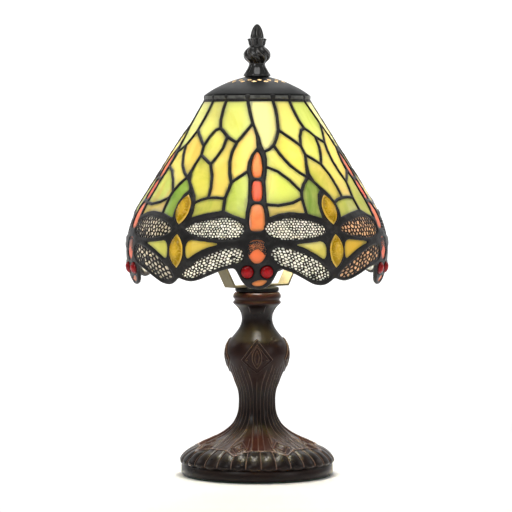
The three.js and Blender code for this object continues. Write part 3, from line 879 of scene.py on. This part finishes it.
def dome_piece(name, loop, centre, rise, turn, material):
    """A polished cabochon: the loop's shape drawn in towards its centre over a round dome."""
    loop = np.array(loop)
    centre = np.array(centre)
    count = len(loop)
    shares = np.arange(DOME_RINGS) / DOME_RINGS
    back = shade_point(loop[:, 0] + turn, loop[:, 1], GLASS_DEPTH + 0.6 * MM)
    vertices = [back]
    for t in shares:
        points = centre + (loop - centre) * math.cos(t * math.pi / 2) ** 0.9
        depth = GLASS_DEPTH - rise * math.sin(t * math.pi / 2)
        vertices.append(shade_point(points[:, 0] + turn, points[:, 1], depth))
    vertices.append(shade_point(centre[0] + turn, centre[1], GLASS_DEPTH - rise)[None])
    apex = (DOME_RINGS + 1) * count
    faces = ring_faces(DOME_RINGS + 1, count) + fan_faces(apex, apex - count, count)
    faces.append(tuple(range(count - 1, -1, -1)))
    piece = mesh_object(name, np.concatenate(vertices), faces, material, sharp=60)
    paint(piece, "dome", np.concatenate([np.zeros(count), np.repeat(shares, count), [1.0]]))
    return piece


def make_gems(materials):
    """Two amber cabochons and two ruby eyes a unit."""
    for k in range(UNITS):
        n = k + 1
        turn = k * UNIT
        for where, (u, v) in (("upper", UPPER_GEM), ("lower", LOWER_GEM)):
            loop = marquise(u, v, grow=0.2 * MM)
            gem = dome_piece(f"{where}_gem_{n}", loop, (u, v), 3.5 * MM, turn, materials["amber"])
            finish_piece(gem, "shade", "amber_glass", f"{where}_amber_gem_{n}")
        for side, (u, v) in zip(("left", "right"), EYES):
            loop = disc(u, v, EYE_R * 0.96)
            eye = dome_piece(f"{side}_eye_{n}", loop, (u, v), 3.5 * MM, turn, materials["ruby"])
            finish_piece(eye, "shade", "ruby_glass", f"{side}_ruby_eye_{n}")


def make_hem(materials):
    """The wire soldered round the scalloped hem, and the rings round the gems."""
    us = np.arange(0, 360, 0.8)
    path = shade_point(us, hem_line(us) - 0.004, GLASS_DEPTH + 0.35 * MM)
    for _ in range(2):
        path = (np.roll(path, 1, axis=0) + 2 * path + np.roll(path, -1, axis=0)) / 4
    wire_loop("hem_wire", path, 1.35 * MM, materials["lead"], sides=10)
    for k in range(UNITS):
        for where, gem in (("upper", UPPER_GEM), ("lower", LOWER_GEM)):
            pts = np.array(marquise(*gem, grow=0.7 * MM))
            ring = shade_point(pts[:, 0] + k * UNIT, pts[:, 1], GLASS_DEPTH - 0.5 * MM)
            wire_loop(f"{where}_gem_bezel_{k + 1}", ring, 0.75 * MM, materials["lead"], sides=8)


def make_cap_solder(materials):
    """A blob of solder on the cap's rim at the top of every lead, and the rim's bright band."""
    rng = np.random.default_rng(SOLDER_SEED)
    ball, ball_faces = unit_ball()
    blobs = []
    for k in range(UNITS):
        for knot in ("T1", "T2", "T3"):
            size = rng.uniform(0.85, 1.15)
            points = ball * (2.2 * MM * size, 0.7 * MM, 1.7 * MM * size)
            a = (KNOT[knot][0] + UNIT * k) * DEG
            across = np.array([math.cos(a), math.sin(a), 0])
            out = np.array([math.sin(a), -math.cos(a), 0])
            middle = out * CAP_RIM_R + (0, 0, CAP_RIM_Z)
            blobs.append(middle + points @ np.array([across, out, (0, 0, 1)]))
    faces = [[i + n * len(ball) for i in face] for n in range(len(blobs)) for face in ball_faces]
    piece = mesh_object("cap_solder", np.concatenate(blobs), faces, materials["lead"])
    finish_piece(piece, "shade", "blackened")
    band = [(40.3, 288.95), (40.8, 289.1), (40.95, 289.8), (40.9, 290.9), (40.6, 291.4), (40.3, 291.4),
            (40.3, 288.95)]
    turned("cap_band", band, materials["solder"], body="shade", slot="blackened", segments=128)


def unit_ball(rings=8, segments=14):
    """A ball of radius 1: its points and faces."""
    points = [(0, 0, -1)]
    for i in range(1, rings):
        a = math.pi * i / rings - math.pi / 2
        for j in range(segments):
            b = 2 * math.pi * j / segments
            points.append((math.cos(a) * math.cos(b), math.cos(a) * math.sin(b), math.sin(a)))
    points.append((0, 0, 1))
    top = len(points) - 1
    faces = [face[::-1] for face in fan_faces(0, 1, segments)]
    faces += fan_faces(top, top - segments, segments)
    faces += ring_faces(rings - 1, segments, start=1)
    return np.array(points), faces


def wire_loop(name, path, radius, material, sides):
    """A round wire along a closed path on the shade, as one closed mesh."""
    ahead = np.roll(path, -1, axis=0) - np.roll(path, 1, axis=0)
    ahead /= np.linalg.norm(ahead, axis=1)[:, None]
    side = np.cross(ahead, path * (1, 1, 0) + (0, 0, 1e-6))
    side /= np.linalg.norm(side, axis=1)[:, None]
    up = np.cross(side, ahead)
    turn = np.linspace(0, 2 * math.pi, sides, endpoint=False)[None, :, None]
    rings = path[:, None] + radius * (np.cos(turn) * side[:, None] + np.sin(turn) * up[:, None])
    faces = [face[::-1] for face in ring_faces(len(path), sides, closed=True)]
    piece = mesh_object(name, rings.reshape(-1, 3), faces, material)
    finish_piece(piece, "shade", "blackened")


# ------------------------------------------------------------------ the cast base

BASE_OUTLINE = [  # r, z in millimetres, from the foot's band to the top of the column
    (58.6, 8.3), (59.3, 9.2), (59.75, 10.8), (59.3, 13.1), (57.8, 15.4), (55.4, 17.7), (52, 20),
    (47, 22.3), (42.4, 24.6), (37, 27), (32.3, 29.4), (28.1, 31.6), (24.6, 33.9), (21.6, 36.3),
    (19.4, 38.6), (17.7, 40.9), (15.5, 45.4), (14.3, 50), (13.9, 55), (14, 61), (14.9, 66),
    (16.4, 70), (18.7, 75.5), (21.3, 81.5), (23.4, 87.5), (24.3, 92.7), (23.7, 98), (21.8, 103),
    (18, 107.8), (14.6, 112.2), (12.5, 116.5), (11.9, 120.5), (12.7, 125), (15, 129), (17.9, 131.8),
]
# Rings without ornament: r, z, wear and redness.
BASE_BAND = [(54.8, 1.3, .16, 0), (57.9, 1.3, .16, 0), (58.4, 1.9, .16, 0), (58.5, 3, .16, 0),
             (58.5, 7.9, .3, 0)]
BASE_RINGS = [
    (18.5, 132.6, .25, .35), (18.4, 133.6, .05, .35), (17.6, 134.4, .05, .35), (17.4, 135.2, .05, .35),
    (17.7, 136, .05, .35), (18.4, 136.6, .25, .35), (18.55, 137.8, .25, .35), (18.1, 139.4, .05, .35),
    (17.2, 140.7, .05, .35), (16.5, 141, .05, .35), (6, 141, .05, .35), (6, 138, .05, .35),
]
BASE_INSIDE = [(8, 124), (12, 107), (19.5, 93), (12, 70.6), (9.9, 56), (16, 36.4), (38, 22), (52, 14),
               (54.8, 12)]
FOOT_TURN = 3  # degrees the foot's ornament stands round from the front
LOBES = 32
FLUTES = 32
SHIELDS = 8
LOZENGES = 4
STRAPS = 8


def angle_from(theta, count, offset):
    """Degrees from the nearest of count evenly spaced directions."""
    pitch = 360 / count
    return (theta - offset + pitch / 2) % pitch - pitch / 2


def foot_lobes(foot, mm):
    """Rounded lobes round the foot's shoulder, a thin raised line between each two, under arches.

    Gives height, wear with a painted highlight round each lobe's lower end, and a mask that is 1 above
    the arches."""
    across = np.abs(angle_from(foot, LOBES, 180 / LOBES)) / (180 / LOBES)
    to_shield = np.abs(angle_from(foot, SHIELDS, 180 / SHIELDS))
    limit = 19.4 + 3.7 * smoothstep(to_shield, -4, 14)
    lobes = 1 - smoothstep(mm, limit - 0.2, limit + 0.3)
    end = np.hypot(across, np.clip((12.4 - mm) / 3.9, 0, None))
    body = np.where(mm < 12.4, np.minimum(end, 1.12), across)
    line = ridge(1 - across, 0.13) * smoothstep(mm, 9.5, 12)
    border = ridge(mm - limit - 0.1, 0.55)
    height = lobes * (-1.15 * body ** 2.4 + line) + 0.5 * border
    # The arc round each lobe's lower end is a painted highlight; the lines and the arch border are wear.
    wear = lobes * (0.9 * line + 0.35 * ridge(body - 0.55, 0.3) * (mm < 12)) + 0.8 * border
    return height, wear, smoothstep(mm, limit - 0.2, limit + 0.3)


def foot_shields(foot, rad, mm, above):
    """Shields between the arches, each round a pointed eye. Gives height, wear and where they are."""
    eye = angle_from(foot, SHIELDS, 180 / SHIELDS) * DEG * rad
    up = (41.5 - rad) * 1.12
    rhomb = np.abs(eye) / 6.0 + np.abs(up) / 8.4 - 0.10 * np.abs(eye * up) / 50
    marks = 0.55 * ridge(rhomb - 1.0, 0.1) + 0.45 * ridge(rhomb - 0.46, 0.12)
    edge = ridge(np.abs(eye) - (7.2 - 0.18 * np.abs(up + 1)), 0.5) * (mm < 31)
    height = above * (marks - 0.45 * ridge(rhomb - 0.73, 0.16) + 0.4 * edge)
    wear = above * (1.6 * marks + 0.7 * edge)
    return height, wear, above * (1 - smoothstep(rhomb, 1.3, 1.5))


def stem_lines(theta, foot, local, mm, beside):
    """Fine lines that flow round the shields, up the stem, and spread to the lozenges' corners."""
    swing = np.sin(np.clip(np.abs(local) / 45, 0, 1) * math.pi)
    spread = np.interp(mm, [60, 72, 82, 92], [0, 2, 8, 15]) * swing
    drawn = angle_from(foot, SHIELDS, 180 / SHIELDS)
    swing = np.sin(np.abs(drawn) / 22.5 * math.pi)
    part_ways = np.interp(mm, [23, 28, 36, 48], [7, 5.5, 2, 0]) * swing
    followed = theta - np.sign(local) * spread - np.sign(drawn) * part_ways
    wander = 0.8 * np.sin(mm * 0.13 + theta * DEG * 4)
    flute = np.abs((((followed + wander) / (360 / FLUTES)) % 1) - 0.5) * 2
    reach = np.interp(np.abs(local), [0, 14, 27, 36, 45], [76, 82, 90, 88, 84])
    stem = beside * (1 - smoothstep(mm, reach - 5, reach))
    line = ridge(1 - flute, 0.3)
    strength = np.interp(mm, [22, 30, 45, 66, 80, 92], [0.5, 0.6, 0.6, 0.6, 0.5, 0.4])
    return stem * strength * (line - 0.6), stem * line * 0.62


def swell_lozenges(local, rad, mm):
    """Raised lozenges on the swell, pointed ovals inside each. Gives height, wear and where they are."""
    across = local * DEG * rad
    rise = mm - 90.3
    lozenge = np.abs(across) / 12.2 + np.abs(rise) / np.where(rise > 0, 15.0, 10.6)
    oval = np.abs(across) / 3.6 + ((mm - 92) / 8) ** 2
    inside = 1 - smoothstep(lozenge, 0.97, 1.03)
    within = lozenge < 0.72
    upper = smoothstep(rise, -2, 1)
    frames = 0.6 * ridge(lozenge - 1.0, 0.055) + 0.5 * ridge(lozenge - 0.74, 0.05)
    frames = frames * (0.6 + 0.4 * upper)
    groove = 0.5 * (0.5 + 0.5 * upper) * ridge(lozenge - 0.87, 0.08)
    ovals = (0.6 * ridge(oval - 1.0, 0.16) + 0.55 * ridge(oval - 0.45, 0.14)) * within
    boss = (1 - smoothstep(oval, 0.0, 0.3)) * within
    beads = sum(1 - smoothstep(np.hypot(across - x, mm - 90.2), 0.4, 0.9) for x in (-7.4, 7.4))
    height = 0.55 * inside + frames - groove + ovals + 0.45 * boss + 0.4 * beads
    return height, 1.25 * frames + 1.2 * ovals + 0.5 * beads, inside


def base_relief(theta, r, z):
    """Ornament on the casting: height in metres, wear with painted highlights on the lobes' lower ends,
    and redness from 0 to 1.

    theta is in degrees from the front, r and z in metres. Heights add up in millimetres."""
    mm, rad = z / MM, r / MM
    foot = theta - FOOT_TURN
    local = angle_from(theta, LOZENGES, 0)
    lobes, lobe_wear_and_highlight, above = foot_lobes(foot, mm)
    shields, shield_wear, on_shield = foot_shields(foot, rad, mm, above)
    lines, line_wear = stem_lines(theta, foot, local, mm, above * (1 - on_shield))
    raised, raised_wear, on_lozenge = swell_lozenges(local, rad, mm)
    height = (lobes + shields + lines) * (1 - on_lozenge) + raised
    wear = (lobe_wear_and_highlight + shield_wear + line_wear) * (1 - on_lozenge) + raised_wear
    red = above * (1 - smoothstep(mm, 30, 42)) * (0.35 + 0.65 * np.cos(local * DEG * 2) ** 4) * 0.75
    red = np.maximum(red, 0.2 * smoothstep(mm, 62, 76) * (1 - smoothstep(mm, 84, 112)))

    # Soft vertical straps on the neck, under the top rings.
    strap = ridge(angle_from(theta, STRAPS, 180 / STRAPS) * DEG * rad, 0.7)
    neck = smoothstep(mm, 124, 127) * (1 - smoothstep(mm, 130.4, 131.4))
    height += 0.35 * neck * strap
    wear += 0.4 * neck * strap
    return height * MM, np.clip(wear, 0, 1), np.clip(red, 0, 1)


def make_base(materials):
    """The casting's outside, with its ornament, closed by a plain inside wall."""
    theta = np.linspace(0, 360, 800, endpoint=False)
    th, r, z, normal_r, normal_z = worked_surface(spline(BASE_OUTLINE, 16), theta)
    height, wear, red = base_relief(th, r, z)
    worked = np.stack([r + normal_r * height, z + normal_z * height, wear, red])

    def plain(rings):
        """Rings of radius, height, wear and redness, the same all the way round."""
        return (np.array(rings) * (MM, MM, 1, 1)).T[:, :, None] * np.ones(len(theta))

    inside = plain([(r, z, 0, 0) for r, z in BASE_INSIDE])
    surface = np.concatenate([plain(BASE_BAND), worked, plain(BASE_RINGS), inside], axis=1)
    radius, level, wear, red = surface
    a = theta * DEG
    vertices = np.stack([radius * np.sin(a), -radius * np.cos(a), level], axis=-1).reshape(-1, 3)
    faces = ring_faces(*radius.shape, closed=True)
    piece = mesh_object("cast_base", vertices, faces, materials["patina"], sharp=50)
    # The wear attribute also carries the painted highlights on the lobes' lower ends.
    paint(piece, "wear", wear.ravel())
    paint(piece, "red", red.ravel())
    finish_piece(piece, "root", "bronze", "base_casting")


# ------------------------------------------------------------------ cap and finial

FINIAL_SEGMENTS = 160


def make_cap(materials):
    """A spun conical cap with two staggered rows of diamond vents."""
    thick = 1.0 * MM
    outline = [(40.5, 289.0), (40.5, 291.2), (40.0, 292.2), (38.7, 293.4), (32.7, 297.2), (24.3, 301.3),
               (19.3, 303.3), (13, 305.2), (8.6, 306.2), (7.9, 305.1), (3.3, 305)]
    theta = np.linspace(0, 360, 721)
    th, r, z, normal_r, normal_z = worked_surface(spline(outline, 12), theta)
    vents = np.full(th.shape, 1e9)
    for radius, offset in ((18.6 * MM, 6), (21.8 * MM, -6)):
        x = angle_from(th, 15, offset) * DEG * r
        vents = np.minimum(vents, np.abs(x) / (1.9 * MM) + np.abs(r - radius) / (1.45 * MM))
    keep = cell_all(vents > 1)
    dish = -0.18 * MM * np.clip(1.6 - vents, 0, 1) * (vents < 1.6)
    a = theta * DEG

    def skin(depth):
        radius, level = r + normal_r * depth, z + normal_z * depth
        return np.stack([radius * np.sin(a), -radius * np.cos(a), level], axis=-1)

    vertices, faces, _ = closed_sheet(keep[::-1], skin(dish)[::-1], skin(-thick)[::-1], ring=True)
    piece = mesh_object("cap", vertices, faces, materials["cap"], sharp=40)
    piece.data.materials.append(materials["cap_inside"])
    outside = int(keep.sum())
    piece.data.polygons.foreach_set("material_index", [0] * outside + [1] * (len(faces) - outside))
    finish_piece(piece, "shade", "blackened", "vented_cap")


def finial_relief(th, mm):
    """Ornament on the finial: height in millimetres and wear. th in radians, mm above its foot."""
    bulb = smoothstep(mm, 9.9, 12) * (1 - smoothstep(mm, 20.6, 22.6))
    spiral = np.abs(np.sin(4 * th + 0.5 * np.sin((mm - 16) * 0.3) * 3))
    leaf = smoothstep(mm, 23.2, 24.6) * (1 - smoothstep(mm, 28.6, 29.2))
    petals = np.abs(np.cos(3 * th)) ** 0.7
    curl = leaf * smoothstep(mm, 26, 28) * (petals > 0.5)
    bud = smoothstep(mm, 29.4, 30.6) * (1 - smoothstep(mm, 37.5, 39.5))
    flutes = np.abs(np.sin(5 * th))
    skirt = smoothstep(mm, 2.2, 3.6) * (1 - smoothstep(mm, 8, 9.4))
    pleats = np.abs(np.sin(4 * th))
    height = 0.35 * curl - bulb * 1.3 * (1 - spiral ** 0.6) - leaf * 1.5 * (1 - petals)
    height -= bud * 0.7 * (1 - flutes ** 0.6) + skirt * 0.35 * (1 - pleats ** 0.8)
    wear = bulb * spiral ** 8 + leaf * petals ** 10 + bud * flutes ** 8
    return height, np.clip(wear, 0, 1) * 0.55


def make_finial(materials):
    """A turned finial: flange, neck, a bulb of twisted ribs, a collar of leaves and a grooved bud."""
    foot = node_box("finial")[0][2]
    outline = [(3.3, 0.0), (9.9, 0.0), (10.4, 0.5), (10.4, 1.3), (9.8, 2.2), (8.6, 4.4), (7.3, 6.6),
               (6.5, 8.6), (6.3, 9.7), (7.2, 10.9), (9.2, 12.7), (10.4, 14.6), (10.75, 16), (10.4, 17.7),
               (9.3, 19.6), (7.8, 21.2), (6.3, 22.4), (5.8, 23.1), (6.3, 24.1), (6.6, 25.4), (6.8, 27),
               (7.1, 28.2), (6.5, 28.9), (5.3, 29.2), (5.35, 30.2), (5.1, 32), (4.5, 34.4), (3.6, 36.6),
               (2.4, 38.5), (1.1, 39.8), (0.0, 40.2)]
    line = spline([(r, z + foot) for r, z in outline], 6)
    theta = np.linspace(0, 2 * math.pi, FINIAL_SEGMENTS, endpoint=False)
    th, r = np.meshgrid(theta, np.maximum(line[:-1, 0], 0))
    z = np.repeat(line[:-1, 1:], FINIAL_SEGMENTS, axis=1)
    height, wear = finial_relief(th, z / MM - foot)
    radius = np.maximum(r + height * MM * (r > 1 * MM), 0)
    bore_top, ceiling = foot + 11.5, foot + 12.6
    radius = np.vstack([np.full(FINIAL_SEGMENTS, 3.3 * MM), radius])
    level = np.vstack([np.full(FINIAL_SEGMENTS, bore_top * MM), z])
    rings = np.stack([radius * np.cos(theta), radius * np.sin(theta), level], axis=-1).reshape(-1, 3)
    tip = len(rings)
    vertices = np.concatenate([rings, [(0, 0, line[-1, 1]), (0, 0, ceiling * MM)]])
    faces = ring_faces(len(radius), FINIAL_SEGMENTS)
    faces += fan_faces(tip, tip - FINIAL_SEGMENTS, FINIAL_SEGMENTS)
    faces += [face[::-1] for face in fan_faces(tip + 1, 0, FINIAL_SEGMENTS)]
    piece = mesh_object("finial_cast", vertices, faces, materials["finial"], sharp=70)
    paint(piece, "wear", np.concatenate([np.zeros(FINIAL_SEGMENTS), wear.ravel(), [0, 0]]))
    paint(piece, "red", np.zeros(len(vertices)))
    finish_piece(piece, "finial", "blackened", "finial")


def make_washer(materials):
    """The washer under the finial, nearly as wide as its flange."""
    low, high = node_box("finial_washer")
    z0, z1 = low[2] - 0.2, high[2] + 0.15
    profile = [(3.3, z0), (9.2, z0), (9.5, z0 + 0.4), (9.5, z1 - 0.3), (9.3, z1), (3.3, z1), (3.3, z0)]
    turned("washer", profile, materials["cap"], body="finial_core", slot="blackened",
           nodes=("finial_washer",))


# ------------------------------------------------------------------ the works inside

E14_PITCH = 2.82  # millimetres
ROD_R = 5.0
ROD_BORE = 3.8
ROD_PITCH = 1.0


def soften(node, width):
    """Rounds a carried-over CAD piece's edges a little, without touching its own mesh."""
    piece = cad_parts[node]
    bevel = piece.modifiers.new("edges", "BEVEL")
    bevel.width = width
    bevel.segments = 2
    bevel.limit_method = "ANGLE"
    bevel.angle_limit = 40 * DEG


def dress(node, material):
    """Gives a carried-over CAD piece its material."""
    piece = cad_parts[node]
    piece.data.materials.clear()
    piece.data.materials.append(material)


def make_bulb(materials):
    """The frosted golf-ball envelope and its threaded cap."""
    low, high = node_box("bulb_envelope")
    ball, foot = high[0], low[2]
    centre = high[2] - ball
    turns = np.linspace(-54 * DEG, 90 * DEG, 30)[:-1]
    arc = [(ball * math.cos(a), centre + ball * math.sin(a)) for a in turns] + [(0, high[2])]
    inner = [(r * 0.96, centre + (z - centre) * 0.96) for r, z in arc[::-1]]
    neck = [(7.0, foot), (7.3, foot + 2), (8.8, foot + 4.6)]
    neck_inside = [(8.0, foot + 4.9), (6.4, foot + 2), (6.2, foot)]
    turned("bulb_ball", neck + arc + inner[:-1] + neck_inside + neck[:1], materials["bulb"],
           body="bulb", slot="bulb_glass", nodes=("bulb_envelope",))
    low, high = node_box("bulb_screw_cap")
    z0, z1 = low[2], high[2]
    outer = [(5.9, z0)]
    for z in np.linspace(z0 + 1.6, z1 - 2.4, 91):
        outer.append((6.75 + 0.3 * math.cos(2 * math.pi * z / E14_PITCH), z))
    outer += [(7.3, z1 - 1.2), (7.35, z1)]
    inside = [(6.6, z1), (6.1, z1 - 3), (6.0, z0 + 2)]
    turned("bulb_thread", outer + inside + outer[:1], materials["brass"], body="bulb", slot="brass",
           nodes=("bulb_screw_cap",))


def make_rod(materials):
    """The lamp rod, threaded in place of its plain CAD one, its crests on the CAD radius."""
    low, high = node_box("threaded_rod")
    z0, z1 = low[2], high[2]
    points = [(ROD_BORE, z0), (ROD_R - ROD_PITCH * 0.6, z0), (ROD_R, z0 + 0.6)]
    for i in range(int((z1 - z0 - 1.2) / ROD_PITCH)):
        z = z0 + 0.6 + i * ROD_PITCH
        points += [(ROD_R, z + ROD_PITCH * 0.15), (ROD_R - ROD_PITCH * 0.5, z + ROD_PITCH * 0.5),
                   (ROD_R, z + ROD_PITCH * 0.85)]
    points += [(ROD_R - ROD_PITCH * 0.6, z1), (ROD_BORE, z1), (ROD_BORE, z0)]
    turned("lamp_rod", points, materials["zinc"], segments=32, slot="zinc", nodes=("threaded_rod",))


def make_collar(materials):
    """The dark turned collar on top of the casting."""
    low, high = node_box("top_collar")
    r, z0, z1 = high[0], low[2], high[2]
    profile = [(6, z0), (r - 1.0, z0), (r - 0.2, z0 + 0.5), (r, z0 + 1.1), (r, z1 - 0.9),
               (r - 0.35, z1 - 0.3), (r - 0.9, z1), (6, z1), (6, z0)]
    turned("collar", profile, materials["cap"], slot="blackened", nodes=("top_collar",))


# ------------------------------------------------------------------ stage, lights, camera


def make_stage():
    """A pale floor that bends up into a wall behind the lamp."""
    floor = Nodes("pale_floor")
    grain = floor.noise(6, detail=2)
    floor.set(color=floor.ramp(grain, (0.3, (0.90, 0.90, 0.90)), (0.7, (0.93, 0.93, 0.93))), rough=0.9)
    reach, wall, bend, wall_top, steps = 9.0, 2.1, 0.5, 4.0, 16
    rows = [(-reach, 0.0)]
    for i in range(steps + 1):
        a = i / steps * math.pi / 2
        rows.append((wall + bend * math.sin(a), bend - bend * math.cos(a)))
    rows.append((wall + bend, wall_top))
    vertices = [(x, y, z) for y, z in rows for x in (-reach, reach)]
    faces = [(2 * i, 2 * i + 1, 2 * i + 3, 2 * i + 2) for i in range(len(rows) - 1)]
    mesh_object("floor_sweep", vertices, faces, floor.material)


# Name, place, what it points at, size in metres, power in watts.
AREA_LIGHTS = (
    ("key", (-0.9, -1.3, 1.2), (0, 0, 0.2), 0.6, 5),
    ("fill", (1.3, -1.1, 0.6), (0, 0, 0.18), 0.6, 2),
    ("floor_front", (0, -0.9, 2.2), (0, -0.8, 0), 1.2, 8),
    ("floor_back", (0, 0.9, 2.0), (0, 1.2, 0), 1.4, 19),
    ("backdrop", (0, 1.9, 1.9), (0, 2.7, 0.4), 1.4, 30),
    ("rim_left", (-1.1, 0.5, 0.7), (0, 0, 0.2), 0.5, 1.1),
    ("rim_right", (1.1, 0.5, 0.7), (0, 0, 0.2), 0.5, 1.1),
)
# The bulb's glow, spread round it.
GLOWS = ((0.0, -0.028, 0.216), (0.03, 0.026, 0.216), (-0.03, 0.026, 0.216))


def aimed(item, aim):
    """Turns a light or the camera towards a point."""
    item.rotation_euler = (Vector(aim) - item.location).to_track_quat("-Z", "Y").to_euler()


def placed(name, data, place):
    """A light or the camera, as an object at its place."""
    item = bpy.data.objects.new(name, data)
    item.location = place
    bpy.context.scene.collection.objects.link(item)
    return item


def make_lights():
    """Soft studio light, the lamp's own light inside the shade, and a faint white world."""
    for name, place, aim, size, power in AREA_LIGHTS:
        data = bpy.data.lights.new(name, "AREA")
        data.shape = "DISK"
        data.size = size
        data.energy = power
        aimed(placed(name, data, place), aim)
    inside = bpy.data.lights.new("bulb_light", "POINT")
    inside.energy = 0.61
    inside.color = (1.0, 0.97, 0.93)
    inside.shadow_soft_size = 0.02
    for place in GLOWS:
        placed("bulb_light", inside, place)
    world = bpy.data.worlds.new("studio")
    world.use_nodes = True
    background = world.node_tree.nodes["Background"]
    background.inputs["Color"].default_value = (1, 1, 1, 1)
    background.inputs["Strength"].default_value = 0.28
    bpy.context.scene.world = world


def make_camera():
    """A long lens, in front and a little above."""
    data = bpy.data.cameras.new("camera")
    data.lens = 176
    data.sensor_width = 36
    camera = placed("camera", data, (-0.0008, -1.925, 0.258))
    aimed(camera, (-0.0008, 0, 0.1686))
    bpy.context.scene.camera = camera


# ------------------------------------------------------------------ assembly

materials = {
    "opal": opal_glass(),
    "body": body_glass(),
    "ripple": ripple_glass(),
    "lead": lead(),
    "filigree": filigree(),
    # Painted light and shade on the cabochons: amber's bright edge, ruby's dark edge, and both bright
    # hearts.
    "amber": cabochon("amber_cabochon", srgb(244, 220, 116), srgb(160, 136, 22), srgb(208, 184, 72), 0.5),
    "ruby": cabochon("ruby_cabochon", srgb(92, 0, 4), srgb(172, 3, 12), srgb(220, 14, 26), 0.3),
    "patina": patina("bronze_patina", srgb(18, 12, 11), srgb(29, 16, 12), srgb(146, 120, 106)),
    "finial": patina("dark_bronze", srgb(18, 16, 14), srgb(30, 28, 25), srgb(112, 104, 96),
                     rough=(0.1, 0.2), specular=0.75),
    "cap": plain("blackened_steel", srgb(15, 16, 16), 0.48, 0.0, fleck=0.25, scale=130, specular=0.12),
    "cap_inside": plain("bare_brass", srgb(252, 224, 184), 0.5, fleck=0.1),
    "solder": plain("bright_solder", srgb(100, 100, 95), 0.4, 0.3, fleck=0.35, scale=260),
    "steel": brushed("brushed_strip", srgb(120, 112, 88), 0.4, (1, 1, 0.06)),
    "brass": brushed("turned_brass", srgb(204, 160, 76), 0.28, (0.3, 0.3, 3)),
    "zinc": brushed("zinc_plate", srgb(170, 172, 176), 0.36, (0.4, 0.4, 2)),
    "phenolic": plain("black_phenolic", srgb(30, 28, 27), 0.4, fleck=0.2, coat=0.3),
    "porcelain": plain("white_porcelain", srgb(238, 234, 224), 0.25, fleck=0.04, coat=0.6),
    "bulb": bulb_glass(),
    "felt": felt(),
}

# CAD nodes kept as they are, by the material each is given.
FINISHES = {
    "felt": ["felt_pad"],
    "steel": ["harp", "cover_plate"],
    "zinc": ["rod_washer", "rod_nut", "harp_stud", "harp_stud_nut", "bulb_tip_contact"],
    "brass": ["holder_lock_nut", "screw_contact", "centre_contact"],
    "phenolic": ["cap_washer", "cable_bush", "holder_cup", "holder_shell", "bulb_insulator"],
    "porcelain": ["holder_core"],
    "lead": ["shade_top_ring"],
    "bulb": ["bulb_stem"],
}
# Of those, the ones whose edges are eased a little.
EASED = ("harp", "harp_stud_nut", "holder_lock_nut", "holder_cup", "holder_shell", "rod_nut")

bpy.context.scene.view_settings.view_transform = "Standard"
make_camera()
make_stage()
make_lights()
for make in (make_base, make_collar, make_leading, make_glass, make_overlays, make_gems, make_hem,
             make_cap, make_cap_solder, make_finial, make_washer, make_bulb, make_rod):
    make(materials)
for finish, nodes in FINISHES.items():
    for node in nodes:
        dress(node, materials[finish])
for node in EASED:
    soften(node, 0.2 * MM)
